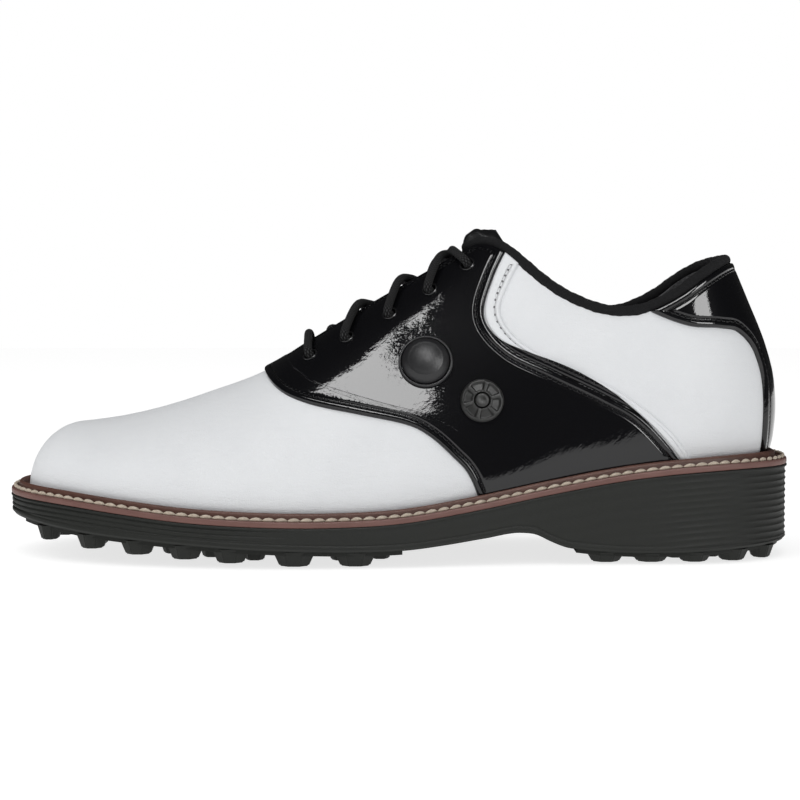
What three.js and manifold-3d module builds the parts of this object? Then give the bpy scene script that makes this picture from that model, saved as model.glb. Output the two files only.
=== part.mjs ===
// Golf shoe, left foot: a spikeless saddle oxford with an air bladder, pump and release valve.
// Millimetres, +Z up, toe towards -X, lateral (outer) side towards -Y, floor at z = 0.
import * as THREE from "three";
import { mergeVertices } from "three/addons/utils/BufferGeometryUtils.js";
import Module from "manifold-3d";

const wasm = await Module();
wasm.setup();

// ---------------------------------------------------------------- driving dimensions
const SHOE_LENGTH = 305; // outsole, toe to heel
const SHOE_WIDTH = 112; // outsole across the ball
const SHOE_HEIGHT = 127; // floor to the tongue's top
const GAP = 0.3; // running clearance between neighbouring pieces

const LEATHER = 1.2; // base leather of vamp and quarters
const OVERLAY = 1.2; // saddle, bands and heel patch
const MID_OUT = 1.5; // depth of the stiffener layer's outer face
const MID = 0.9; // stiffener layer: toe puff, counter, bladder
const LINING = 0.7;
const COLLAR_PAD = 3.5; // extra foam at the collar
const COLLAR_DEPTH = 22; // how far the collar foam reaches down
const LAP = 8; // leather hidden under the overlay that is stitched to it

const WELT_THICK = 2.6;
const WELT_WIDTH = 7; // past the upper
const LIP_HEIGHT = 2.6;
const LIP_THICK = 1.7;
const OUTSOLE_REAR = 2.2; // how far the heel stands out past the welt line
const TREAD_BASE = 1.6;
const BOARD = 2;
const FOOTBED = 4;
const SHANK = [92, 14, 1.2];

const EYELET_BORE = 2.3;
const EYELET_WALL = 0.6;
const EYELET_FOOT = -2.3; // depth of its inner end
const LACE_R = 1.4;
const BINDING_R = 2;

const PUMP_R = 8.6; // bulb
const PUMP_RISE = 4.6; // bulb's crown above its collar
const PUMP_TRAVEL = 2.2;
const PUMP_WALL = 1; // socket wall
const VALVE_R = 8.15; // release valve bezel
const HUB_R = 2.65; // release button
const HUB_TRAVEL = 0.8;

// The last is drawn for the base size and graded to the driving dimensions.
const GRADE = [SHOE_LENGTH / 305, SHOE_WIDTH / 112, SHOE_HEIGHT / 127];

// ---------------------------------------------------------------- the last
// A smooth curve through (x, value) points, flat beyond its ends.
function profile(points) {
  const n = points.length;
  const slope = (i) => (points[i + 1][1] - points[i][1]) / (points[i + 1][0] - points[i][0]);
  const m = points.map((p, i) => {
    if (i === 0) return slope(0);
    if (i === n - 1) return slope(n - 2);
    const a = points[i][0] - points[i - 1][0];
    const b = points[i + 1][0] - points[i][0];
    return (slope(i - 1) * b + slope(i) * a) / (a + b);
  });
  return (x) => {
    const at = Math.min(Math.max(x, points[0][0]), points[n - 1][0]);
    let i = 0;
    while (i < n - 2 && at > points[i + 1][0]) i++;
    const w = points[i + 1][0] - points[i][0];
    const t = (at - points[i][0]) / w;
    const rise = m[i] * w * t * (1 - t) ** 2 - m[i + 1] * w * t * t * (1 - t);
    return points[i][1] * (1 + 2 * t) * (1 - t) ** 2 + points[i + 1][1] * t * t * (3 - 2 * t) + rise;
  };
}

const TOE_X = -145.6;
const TOE_ROUND = 20;
const TOE_PLAN = 60;
const HEEL_X = 106; // where the rear of the last starts to curve round
const BACK_X = 146.4;

const feather = profile([
  [-152, 25.8], [-125, 24.2], [-105, 22], [-80, 19.3], [-52, 17.8], [-25, 17.5], [0, 18.6],
  [30, 23.2], [58, 28.8], [86, 33.8], [110, 36.5], [130, 37.6], [152, 37.6],
]);
const crest = profile([
  [-146, 49], [-125, 50.4], [-110, 52.4], [-94, 56], [-78, 61], [-62, 66.5], [-46, 74], [-34, 81.7],
  [-10, 97], [17, 114.2], [30, 122.5], [60, 142], [90, 160], [108, 170], [150, 178],
]);
const halfWidth = profile([
  [-146, 41], [-120, 42.3], [-100, 43.9], [-80, 46.5], [-60, 47.9], [-40, 47.2], [-20, 44.5],
  [0, 40.8], [20, 37.2], [40, 34.9], [60, 34], [104, 33.5], [150, 33.5],
]);
const AXIS_Y = 1.1; // the last's centre line stands this far to the medial side of the outsole's
const midline = profile([
  [-146, 3], [-120, 1.5], [-80, 0], [-60, -0.9], [-40, -2.2], [-20, -3.5], [0, -4.8], [20, -5],
  [40, -4.2], [60, -3], [104, -1], [150, 0],
]);
const ridge = profile([[-146, 3.5], [-90, 3.5], [-62, 1.6], [-42, -AXIS_Y], [-30, -AXIS_Y], [150, -AXIS_Y]]);
const fullness = profile([[-146, 2.2], [-70, 2.3], [-30, 1.8], [0, 1.6], [30, 1.7], [60, 2.2], [150, 2.2]]);
const backLine = profile([
  [36, 142.4], [42, 144.8], [50, 146.1], [60, 146.4], [69, 145.4], [80, 142.4], [99, 134.6],
  [113, 128.6], [140, 118], [180, 108],
]);

const clamp01 = (t) => Math.min(Math.max(t, 0), 1);

// Where the section of station u stands along the toe's curve.
function stationX(u) {
  const start = TOE_X + TOE_ROUND;
  if (u >= start) return u;
  return start - TOE_ROUND * Math.sin((Math.PI / 2) * clamp01((start - u) / TOE_ROUND));
}

function toeRise(x) {
  return Math.sqrt(1 - clamp01((TOE_X + TOE_ROUND - x) / TOE_ROUND) ** 2);
}

// A point of the upper's outer face: u runs toe to heel, v from -1 (lateral feather edge)
// over 0 (ridge) to 1 (medial feather edge).
function last(u, v) {
  const round = (Math.PI / 2) * (1 - Math.abs(v));
  const side = v < 0 ? -1 : 1;
  const x = stationX(u);
  const base = feather(x);
  const height = (crest(x) - base) * toeRise(x);
  const share = Math.sin(round) ** (2 / fullness(x));
  const z = base + height * share;
  const plan = (1 - (1 - clamp01((x - TOE_X) / TOE_PLAN)) ** 2.2) ** (1 / 2.2);
  const turn = (Math.PI / 2) * clamp01((u - HEEL_X) / (BACK_X - HEEL_X));
  const s = (z - base) / 12;
  const across = Math.max(Math.cos(round), 0);
  const belly = 1.2 * plan * s * Math.exp(1 - s) * Math.sqrt(across);
  const reach = (halfWidth(x) * plan * across + belly) * Math.max(Math.cos(turn), 0) ** 0.9;
  const centre = AXIS_Y + midline(x) * (1 - share) + ridge(x) * share;
  const along = u > HEEL_X ? HEEL_X + (backLine(z) - HEEL_X) * Math.sin(turn) : x;
  return new THREE.Vector3(along * GRADE[0], (centre + side * reach) * GRADE[1], z * GRADE[2]);
}

function lastNormal(u, v) {
  const du = 0.2;
  const dv = 0.002;
  const at = Math.min(Math.max(v, -1 + dv), 1 - dv);
  const from = Math.max(u - du, TOE_X);
  const to = Math.min(u + du, BACK_X);
  if (u <= TOE_X) return new THREE.Vector3(-1, 0, 0);
  if (u >= BACK_X) {
    const rise = last(BACK_X, at + dv).sub(last(BACK_X, at - dv));
    return new THREE.Vector3(Math.abs(rise.z), 0, -Math.sign(rise.z) * rise.x).normalize();
  }
  const a = last(to, at).sub(last(from, at));
  const b = last(u, at + dv).sub(last(u, at - dv));
  return a.cross(b).normalize();
}

// The (u, v) of the side-view point (x, z) of the base size; side is -1 lateral, 1 medial.
function onSide(x, z, side) {
  const start = TOE_X + TOE_ROUND;
  let u = x;
  if (x < start) u = start - TOE_ROUND * (2 / Math.PI) * Math.asin(clamp01((start - x) / TOE_ROUND));
  if (x > HEEL_X) {
    const turn = Math.asin(clamp01((x - HEEL_X) / (backLine(z) - HEEL_X)));
    u = HEEL_X + (turn / (Math.PI / 2)) * (BACK_X - HEEL_X);
  }
  const at = x > HEEL_X ? u : x;
  const height = (crest(at) - feather(at)) * toeRise(at);
  const share = clamp01((z - feather(at)) / Math.max(height, 1e-6));
  const round = Math.asin(share ** (fullness(at) / 2));
  return [u, side * (1 - round / (Math.PI / 2))];
}

function offsetPoint(u, v, d) {
  return last(u, v).addScaledVector(lastNormal(u, v), d);
}

// ---------------------------------------------------------------- solids
function solidOf(geometry) {
  const bare = new THREE.BufferGeometry();
  const whole = geometry.index ? geometry.toNonIndexed() : geometry;
  bare.setAttribute("position", whole.getAttribute("position"));
  const merged = mergeVertices(bare, 1e-4);
  const kept = [];
  const index = merged.index.array;
  for (let i = 0; i < index.length; i += 3) {
    const [a, b, c] = [index[i], index[i + 1], index[i + 2]];
    if (a !== b && b !== c && c !== a) kept.push(a, b, c);
  }
  const made = new wasm.Manifold(
    new wasm.Mesh({
      numProp: 3,
      vertProperties: merged.attributes.position.array,
      triVerts: new Uint32Array(kept),
    }),
  );
  return made;
}

function geometryOf(solid) {
  const mesh = solid.getMesh();
  const n = mesh.numProp;
  const positions = new Float32Array(mesh.numVert * 3);
  for (let i = 0; i < mesh.numVert; i++) {
    positions.set(mesh.vertProperties.subarray(i * n, i * n + 3), i * 3);
  }
  const geometry = new THREE.BufferGeometry();
  geometry.setAttribute("position", new THREE.BufferAttribute(positions, 3));
  geometry.setIndex(new THREE.BufferAttribute(mesh.triVerts, 1));
  geometry.computeVertexNormals();
  return geometry;
}

function largest(solid) {
  return solid.decompose().sort((a, b) => b.volume() - a.volume())[0];
}

// ---------------------------------------------------------------- shells on the last
const TOE_STEPS = 4;
const BODY_STEPS = 17;
const HEEL_STEPS = 5;
const STATIONS = [];
for (let i = 0; i < TOE_STEPS; i++) STATIONS.push(TOE_X + (i / TOE_STEPS) * TOE_ROUND);
for (let i = 0; i < BODY_STEPS; i++) {
  STATIONS.push(TOE_X + TOE_ROUND + (i / BODY_STEPS) * (HEEL_X - TOE_X - TOE_ROUND));
}
for (let i = 0; i <= HEEL_STEPS; i++) STATIONS.push(HEEL_X + (i / HEEL_STEPS) * (BACK_X - HEEL_X));

const SIDE_ROWS = [1, 0.95, 0.9, 0.85, 0.79, 0.71, 0.6, 0.42, 0.2];
const ROWS = [...SIDE_ROWS.map((v) => -v), 0, ...SIDE_ROWS.toReversed()];

// A closed shell between two offsets from the last's outer face; each offset is a number or a
// function of (u, v). The toe end closes on a point and the heel end is a seam down the back;
// a shell that stops short of them has a flat end there.
function shell(outer, inner, stations = STATIONS, rows = ROWS, rowAt = (u, v) => v) {
  const depth = (d, u, v) => (typeof d === "function" ? d(u, v) : d);
  const point = (d, u, v) => offsetPoint(u, v, depth(d, u, v));
  const faces = [outer, inner].map((d) =>
    stations.map((u) => rows.map((row) => point(d, u, rowAt(u, row)))),
  );
  // both flanks meet at the back seam, so the last station of each row is shared
  const closed = stations.at(-1) >= BACK_X;
  if (closed) {
    for (const grid of faces) {
      const seam = grid.at(-1);
      for (let j = 0; j < rows.length; j++) {
        const twin = seam[Math.min(j, rows.length - 1 - j)];
        seam[j].set(twin.x, AXIS_Y * GRADE[1], twin.z);
      }
    }
  }
  const positions = [];
  const quad = (a, b, c, d) => {
    for (const p of [a, b, c, a, c, d]) positions.push(p.x, p.y, p.z);
  };
  for (let i = 0; i + 1 < stations.length; i++) {
    for (let j = 0; j + 1 < rows.length; j++) {
      const [o, n] = faces;
      quad(o[i][j], o[i + 1][j], o[i + 1][j + 1], o[i][j + 1]);
      quad(n[i][j], n[i][j + 1], n[i + 1][j + 1], n[i + 1][j]);
    }
    const [o, n] = faces;
    const end = rows.length - 1;
    quad(o[i][0], n[i][0], n[i + 1][0], o[i + 1][0]);
    quad(o[i][end], o[i + 1][end], n[i + 1][end], n[i][end]);
  }
  for (let j = 0; j + 1 < rows.length; j++) {
    const [o, n] = faces;
    if (stations[0] > TOE_X) quad(o[0][j], o[0][j + 1], n[0][j + 1], n[0][j]);
    if (!closed) quad(o.at(-1)[j], n.at(-1)[j], n.at(-1)[j + 1], o.at(-1)[j + 1]);
  }
  const geometry = new THREE.BufferGeometry();
  geometry.setAttribute("position", new THREE.BufferAttribute(new Float32Array(positions), 3));
  return solidOf(geometry);
}

// ---------------------------------------------------------------- prisms and outlines
const FAR = 400; // longer than the shoe, for cutting solids
const BAND_STEP = 21;

function extrude(points, depth) {
  return new THREE.ExtrudeGeometry(new THREE.Shape(points), { depth, bevelEnabled: false, steps: 1 });
}

// The plan outline of the feather line, moved outwards by d, as a tall prism.
function planPrism(d, rearGrowth = 0) {
  const loop = [];
  for (const u of STATIONS) loop.push(last(u, -1));
  for (const u of STATIONS.toReversed().slice(1, -1)) loop.push(last(u, 1));
  const n = loop.length;
  const moved = loop.map((p, i) => {
    const a = loop[(i + n - 1) % n];
    const b = loop[(i + 1) % n];
    const out = new THREE.Vector2(b.y - a.y, a.x - b.x).normalize();
    const rear = rearGrowth * clamp01((p.x - HEEL_X * GRADE[0]) / (BACK_X - HEEL_X));
    return new THREE.Vector2(p.x, p.y).addScaledVector(out, d + rear);
  });
  const geometry = extrude(moved, FAR);
  geometry.translate(0, 0, -FAR / 2);
  return solidOf(geometry);
}

// A side-view outline of the finished size, as a slab between two y values.
function sideSlab(points, y0 = -FAR / 2, y1 = FAR / 2) {
  const geometry = extrude(points.map(([x, z]) => new THREE.Vector2(x, z)), y1 - y0);
  geometry.rotateX(Math.PI / 2);
  geometry.translate(0, y1, 0);
  return solidOf(geometry);
}

const graded = (points) => points.map(([x, z]) => [x * GRADE[0], z * GRADE[2]]);

// The slab between two heights that are functions of the base size's x.
function band(low, high) {
  const xs = [];
  for (let x = -8 * BAND_STEP; x <= 8 * BAND_STEP; x += BAND_STEP) xs.push(x);
  const under = xs.map((x) => [x * GRADE[0], low(x)]);
  const over = xs.toReversed().map((x) => [x * GRADE[0], high(x)]);
  return sideSlab([...under, ...over]);
}

// A side-view line moved to its left by d.
function beside(points, d) {
  return points.map(([x, z], i) => {
    const [ax, az] = points[Math.max(i - 1, 0)];
    const [bx, bz] = points[Math.min(i + 1, points.length - 1)];
    const run = Math.hypot(bx - ax, bz - az);
    return [x - (d * (bz - az)) / run, z + (d * (bx - ax)) / run];
  });
}

const shifted = (points, dx, dz) => points.map(([x, z]) => [x + dx, z + dz]);

function smooth(points, count) {
  const curve = new THREE.SplineCurve(points.map(([x, z]) => new THREE.Vector2(x, z)));
  return curve.getPoints(count).map((p) => [p.x, p.y]);
}

const featherZ = (x) => feather(x) * GRADE[2];
const aboveFeather = band(featherZ, () => FAR / 2);

// ---------------------------------------------------------------- the upper's lines, side view
const SADDLE_FRONT = smooth(
  [[-56, 74.5], [-46, 64.6], [-34.6, 59.6], [-15.4, 55.6], [2, 52], [11, 47.8], [20, 40], [27, 31.5],
    [34, 12]],
  14,
);
const SADDLE_REAR = smooth(
  [[45, 124], [36.3, 107], [32.6, 91.5], [41.5, 79.8], [58, 71.5], [77, 62.5], [92, 53.5], [107, 36],
    [117, 12]],
  16,
);
const BAND_REAR = smooth(
  [[53, 124], [42.3, 105], [38.8, 92.5], [48, 81], [67.4, 71.5], [86.4, 61.6], [106.4, 43.9], [122, 12]],
  16,
);
const PATCH_EDGE = smooth(
  [[88, 99], [95.5, 93.5], [109, 88.5], [121, 87.6], [129, 85.8], [136.6, 76.8], [139.9, 58.3], [137.5, 12]],
  14,
);
const topline = profile([
  [16, 118], [26, 119.4], [31.7, 121], [36, 120.6], [41, 118], [46.4, 113.4], [53.7, 106.8], [61, 101.5],
  [68.4, 97.7], [76, 95], [83.3, 94], [90.8, 94.6], [98.3, 97.3], [106, 101.5], [114, 107.2], [124, 112.8],
  [130, 114.4], [160, 114.4],
]);
const TOPLINE = [];
for (let x = 14; x <= 158; x += 6) TOPLINE.push([x, topline(x)]);
// The panels' top edge, of the finished size, lies under the binding.
const EDGE_LINE = beside(graded(TOPLINE), -(BINDING_R + GAP));
const FRONT_X = 14 * GRADE[0];
const REAR_X = 160 * GRADE[0];

const SLOT_FRONT = -43; // the throat
const SLOT_REAR = 36;
const SLOT_NARROW = 4.2; // half width at the throat
const SLOT_WIDE = 9; // half width at the top
const halfSlot = (x) =>
  SLOT_NARROW + (SLOT_WIDE - SLOT_NARROW) * clamp01((x - SLOT_FRONT) / (SLOT_REAR - SLOT_FRONT));

// The opening between the facings, as a tall prism.
function slotPrism(extra) {
  const [a, b] = [(SLOT_FRONT - extra) * GRADE[0], SLOT_REAR * GRADE[0]];
  const [n, w] = [SLOT_NARROW + extra, SLOT_WIDE + extra];
  const bySide = [[a, n * 0.6], [a + 1, n], [b, w], [2 * b, w]];
  const points = [...bySide.map(([x, y]) => [x, -y]), ...bySide.toReversed()];
  const geometry = extrude(points.map(([x, y]) => new THREE.Vector2(x, y)), FAR);
  geometry.translate(0, 0, 40 * GRADE[2]);
  return solidOf(geometry);
}
const slot = slotPrism(0);

// ---------------------------------------------------------------- materials and nodes
const shoe = new THREE.Group();
const paint = (color, roughness, metalness = 0) =>
  new THREE.MeshStandardMaterial({ color, roughness, metalness });
const WHITE_LEATHER = paint(0xeceef0, 0.5);
const PATENT = paint(0x0d0d10, 0.08);
const BLACK_TEXTILE = paint(0x17171a, 0.9);
const FOAM = paint(0xd8d2b8, 0.95);
const WELT = paint(0x6e4137, 0.6);
const RUBBER = paint(0x2f312e, 0.85);
const BOARD_FIBRE = paint(0xb59b77, 0.9);
const CORK = paint(0x8d6b45, 0.95);
const STEEL = paint(0x9a9ca0, 0.35, 1);
const STIFFENER = paint(0xcfc8b6, 0.8);
const BLADDER = paint(0x8c9298, 0.4);
const PUMP_RUBBER = paint(0x1a1b1d, 0.55);

function add(name, solid, material) {
  const mesh = new THREE.Mesh(geometryOf(solid), material);
  mesh.name = name;
  shoe.add(mesh);
}

// ---------------------------------------------------------------- fittings on the lateral side
// A lathed fitting whose axis is the last's normal; heights are measured from the last's face.
function placed(geometry, x, z, side) {
  const [u, v] = onSide(x, z, side);
  const turn = new THREE.Quaternion().setFromUnitVectors(new THREE.Vector3(0, 1, 0), lastNormal(u, v));
  geometry.applyQuaternion(turn);
  const p = last(u, v);
  geometry.translate(p.x, p.y, p.z);
  return solidOf(geometry);
}

function lathe(profilePoints, sides) {
  return new THREE.LatheGeometry(profilePoints.map(([r, h]) => new THREE.Vector2(r, h)), sides);
}

function ring(inner, outer, low, high, sides) {
  return lathe([[inner, low], [outer, low], [outer, high], [inner, high], [inner, low]], sides);
}

function rod(radius, low, high, sides) {
  const geometry = new THREE.CylinderGeometry(radius, radius, high - low, sides);
  geometry.translate(0, (low + high) / 2, 0);
  return geometry;
}

const PUMP_AT = [10.3, 74.4];
const VALVE_AT = [31.2, 60.2];
const SOCKET_R = PUMP_R + GAP + PUMP_WALL;
const NECK_R = 5.6;
const OVER = GAP + OVERLAY; // height of the overlay's face
const MID_IN = MID_OUT + MID;
const socketHole = placed(rod(SOCKET_R + GAP, -10, 10, 20), ...PUMP_AT, -1);
const neckHole = placed(rod(NECK_R + GAP, -10, 10, 14), ...VALVE_AT, -1);

const EYELETS = [[-33.2, 76.2], [-19.3, 83.2], [-2.9, 92.3], [12.4, 101.6], [26.8, 111.2]];
const SIDES = [["lateral", -1], ["medial", 1]];
const EYELET_R = EYELET_BORE + EYELET_WALL;
const HOLE_R = (EYELET_R + GAP) / Math.cos(Math.PI / 6); // a six-sided hole clears the round eyelet
const eyeletHoles = (side) =>
  wasm.Manifold.union(EYELETS.map(([x, z]) => placed(rod(HOLE_R, -8, 8, 6), x, z, side)));
const HOLES = { "-1": eyeletHoles(-1), 1: eyeletHoles(1) };

// ---------------------------------------------------------------- upper
const base = shell(0, -LEATHER).intersect(aboveFeather);
const overlay = shell(OVER, GAP).intersect(aboveFeather);
const middle = shell(-MID_OUT, -MID_IN).intersect(aboveFeather);
const LOW = 0;
const HIGH = 200;

// Below the binding, and the same with all that is in front of the collar.
const belowEdge = sideSlab([[FRONT_X, LOW], [REAR_X, LOW], ...EDGE_LINE.toReversed()]);
const underEdge = sideSlab([
  [-90 * GRADE[0], LOW],
  [REAR_X, LOW],
  ...EDGE_LINE.toReversed(),
  [FRONT_X - 1, HIGH],
  [-90 * GRADE[0], HIGH],
]);

const vampEdge = shifted(SADDLE_FRONT, 5, LAP);
const vampOutline = [
  [-FAR / 2, LOW],
  [45, LOW],
  ...vampEdge.toReversed(),
  [-60, HIGH],
  [-FAR / 2, HIGH],
];
add(
  "vamp",
  largest(base.intersect(sideSlab(graded(vampOutline)))),
  WHITE_LEATHER,
);

const seam = GAP / 2;
for (const [name, side] of SIDES) {
  const span = side < 0 ? [-FAR / 2, -seam] : [seam, FAR / 2];
  const cut = (solid, outline) => largest(solid.intersect(sideSlab(graded(outline), ...span)));
  const saddle = [...SADDLE_FRONT, ...SADDLE_REAR.toReversed(), [-10, 150]];
  let panel = cut(overlay, saddle).subtract(slot).subtract(HOLES[side]);
  panel = panel.intersect(underEdge);
  if (side < 0) panel = panel.subtract(socketHole).subtract(neckHole);
  add("saddle_" + name, largest(panel), PATENT);

  const strip = [...beside(SADDLE_REAR, GAP), ...BAND_REAR.toReversed()];
  add("quarter_band_" + name, largest(cut(overlay, strip).intersect(belowEdge)), WHITE_LEATHER);

  const quarterFront = shifted(SADDLE_REAR, -6, -6);
  const rest = cut(base, [...quarterFront.toReversed(), [45, HIGH], [FAR / 2, HIGH], [FAR / 2, LOW]]);
  add("quarter_" + name, largest(rest.intersect(belowEdge)), WHITE_LEATHER);

  const stay = [[-41, 60], [-38, 69.5], [-20, 74.5], [-3, 83.5], [12, 92.5], [28, 103], [31, 108],
    [31, 150], [-41, 150]];
  const stayShell = shell(0, -MID_OUT - 0.4, STATIONS.filter((u) => u > -60 && u < 50));
  add(
    "facing_stay_" + name,
    largest(cut(stayShell, stay).subtract(slot).subtract(HOLES[side]).intersect(belowEdge)),
    STIFFENER,
  );
}

const patch = [...PATCH_EDGE, [FAR / 2, 12], [FAR / 2, HIGH], [88, HIGH]];
add("heel_patch", largest(overlay.intersect(sideSlab(graded(patch))).intersect(belowEdge)), PATENT);

// ---------------------------------------------------------------- stiffeners, bladder and foam
const PUFF_REAR = [[-104, LOW], [-104, 30], [-109, 42], [-112, 70]];
const puff = [[-FAR / 2, LOW], ...PUFF_REAR, [-FAR / 2, 70]];
add("toe_puff", largest(middle.intersect(sideSlab(graded(puff)))), STIFFENER);

const COUNTER_TOP = [[84, LOW], [84, 50], [88, 63], [96, 70], [108, 72.5], [170, 74]];
add("heel_counter", largest(middle.intersect(sideSlab(graded([...COUNTER_TOP, [170, LOW]])))), STIFFENER);

const BLADDER_OUTLINE = [
  [-20, 60], [-16, 69], [-3, 77], [12, 85.5], [24, 91], [31, 84], [44, 72], [60, 64], [74, 58.5],
  [76, 50], [60, 44], [40, 40], [8, 46], [-14, 52],
].toReversed();
for (const [name, side] of SIDES) {
  const span = side < 0 ? [-FAR / 2, 0] : [0, FAR / 2];
  let pouch = middle.intersect(sideSlab(graded(BLADDER_OUTLINE), ...span));
  if (side < 0) pouch = pouch.subtract(socketHole).subtract(neckHole);
  add("air_bladder_" + name, largest(pouch), BLADDER);
}

// How much thicker the collar's padding is at (u, v), from none at its lower edge.
function collarPad(u, v) {
  const p = last(u, v);
  const x = p.x / GRADE[0];
  const down = clamp01((topline(x) - p.z / GRADE[2]) / (COLLAR_DEPTH - 4));
  const start = clamp01((x - 34) / 12);
  return COLLAR_PAD * start * Math.sin(Math.PI * (1 - down) ** 0.7 * 0.8);
}

const COLLAR_FRONT = 40;
const collarLow = shifted(TOPLINE, 0, -(COLLAR_DEPTH - 4)).filter(([x]) => x > COLLAR_FRONT);
const collar = [...collarLow, [170, 96], [170, HIGH], [COLLAR_FRONT, HIGH]];
const foamShell = shell(-MID_OUT, (u, v) => -MID_IN - collarPad(u, v));
add("collar_foam", largest(foamShell.intersect(sideSlab(graded(collar))).intersect(belowEdge)), FOAM);

const LINING_OUT = MID_IN + GAP;
const LINING_IN = LINING_OUT + LINING;
const liningShell = shell(
  (u, v) => -LINING_OUT - collarPad(u, v),
  (u, v) => -LINING_IN - collarPad(u, v),
).intersect(aboveFeather);
const LINING_SEAM = -31;
const liningSlot = slotPrism(GAP);
const sideBox = (a, b) => sideSlab(graded([[a, LOW], [b, LOW], [b, HIGH], [a, HIGH]]));
const frontHalf = sideBox(-FAR / 2, LINING_SEAM);
add("vamp_lining", largest(liningShell.intersect(frontHalf).subtract(liningSlot)
  .subtract(HOLES[-1]).subtract(HOLES[1])), BLACK_TEXTILE);
const rearHalf = sideBox(LINING_SEAM, 170).translate(GAP, 0, 0);
add("quarter_lining", largest(liningShell.intersect(rearHalf).intersect(underEdge).subtract(liningSlot)
  .subtract(HOLES[-1]).subtract(HOLES[1])), BLACK_TEXTILE);

// ---------------------------------------------------------------- swept pieces
// A path that turns exactly at its own points, so that each section stands on one of them.
class Route extends THREE.Curve {
  constructor(points) {
    super();
    this.points = points;
  }
  getPoint(t) {
    const at = clamp01(t) * (this.points.length - 1);
    const i = Math.min(Math.floor(at), this.points.length - 2);
    return this.points[i].clone().lerp(this.points[i + 1], at - i);
  }
  getPointAt(t) {
    return this.getPoint(t);
  }
  getTangent(t) {
    const at = Math.round(clamp01(t) * (this.points.length - 1));
    const here = this.points[at];
    const before = this.points[Math.max(at - 1, 0)];
    const after = this.points[Math.min(at + 1, this.points.length - 1)];
    const into = here.clone().sub(before).normalize();
    return into.add(after.clone().sub(here).normalize()).normalize();
  }
  getTangentAt(t) {
    return this.getTangent(t);
  }
}

function tube(points, radius, sides = 8) {
  const section = new THREE.Shape();
  for (let i = 0; i < sides; i++) {
    const a = (2 * Math.PI * i) / sides;
    section[i ? "lineTo" : "moveTo"](radius * Math.cos(a), radius * Math.sin(a));
  }
  const options = { steps: points.length - 1, extrudePath: new Route(points), bevelEnabled: false };
  return solidOf(new THREE.ExtrudeGeometry(section, options));
}

// Points along a side-view line on the last, at depth d.
function along(points, side, d) {
  return points.map(([x, z]) => {
    const [u, v] = onSide(x, z, side);
    return offsetPoint(u, v, d);
  });
}

// The collar binding runs from one facing's top corner round the heel to the other's.
const BINDING_DEPTH = -1;
const half = [];
for (let x = 27; x <= HEEL_X; x += 5.64) half.push([x, topline(x)]);
const HEEL_TURNS = 5;
for (let i = 1; i < HEEL_TURNS; i++) {
  let z = topline(HEEL_X);
  let x = HEEL_X;
  for (let k = 0; k < 8; k++) {
    x = HEEL_X + (backLine(z) - HEEL_X) * Math.sin(((Math.PI / 2) * i) / HEEL_TURNS);
    z = topline(x);
  }
  half.push([x, z]);
}
const backTop = topline(140);
const bindingPoints = [
  ...along(half, -1, BINDING_DEPTH),
  new THREE.Vector3((backLine(backTop) + BINDING_DEPTH) * GRADE[0], AXIS_Y * GRADE[1], backTop * GRADE[2]),
  ...along(half.toReversed(), 1, BINDING_DEPTH),
];
add("collar_binding", tube(bindingPoints, BINDING_R), BLACK_TEXTILE);

// The hose that joins the two halves of the bladder, between counter and collar foam.
const HOSE_R = 0.45;
const HOSE_DEPTH = -(MID_OUT + MID / 2);
const hoseHalf = [[75.5, 59.6], [79.5, 64], [84, 69], [90, 72.6], [98, 74], [106, 76]];
for (const i of [1, 2, 3, 4]) {
  const z = 76 + i * 0.8;
  hoseHalf.push([HEEL_X + (backLine(z) - HEEL_X) * Math.sin((Math.PI / 10) * i), z]);
}
const hosePoints = [
  ...along(hoseHalf, -1, HOSE_DEPTH),
  new THREE.Vector3((backLine(80) + HOSE_DEPTH) * GRADE[0], AXIS_Y * GRADE[1], 80 * GRADE[2]),
  ...along(hoseHalf.toReversed(), 1, HOSE_DEPTH),
];
add("air_hose", tube(hosePoints, HOSE_R), BLADDER);

// ---------------------------------------------------------------- tongue
const TONGUE_HALF = 21;
const TONGUE_LEATHER = 1;
const TONGUE_FRONT = -49;
const TONGUE_TOP = 34;
const tongueStations = [];
const TONGUE_STEPS = 9;
for (let i = 0; i <= TONGUE_STEPS; i++) {
  tongueStations.push(TONGUE_FRONT + (i / TONGUE_STEPS) * (TONGUE_TOP - TONGUE_FRONT));
}

const ease = (t) => clamp01(t) ** 2 * (3 - 2 * clamp01(t));
const tongueHalf = (u) => 9 + (TONGUE_HALF - 9) * ease((u - TONGUE_FRONT) / 45);
const tongueY = (u, v) => halfWidth(u) * Math.cos((Math.PI / 2) * (1 - Math.abs(v)));

// Depth of the tongue's wings, under the facings and the lace.
const tongueWing = (u) => -4 - 4 * ease((u + 44) / 7);

// Depth of the tongue's face: low under the facings, crowned between them, thick at its top.
function tongueFace(u, v) {
  const y = tongueY(u, v);
  const gap = halfSlot(u);
  const middleShare = 1 - ease((y - gap + 4.6) / 3.6);
  const lowered = tongueWing(u);
  const crown = -4 - 1.9 * ease((u + 44) / 7) + 8.2 * ease((u - 24.5) / 9);
  return lowered + (crown - lowered) * middleShare;
}

const foamDepth = (u) => 2 + 1.5 * ease((u - TONGUE_FRONT) / 80);
const TONGUE_ROWS = [1, 0.74, 0.5, 0.4, 0.28, 0.15];
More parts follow.
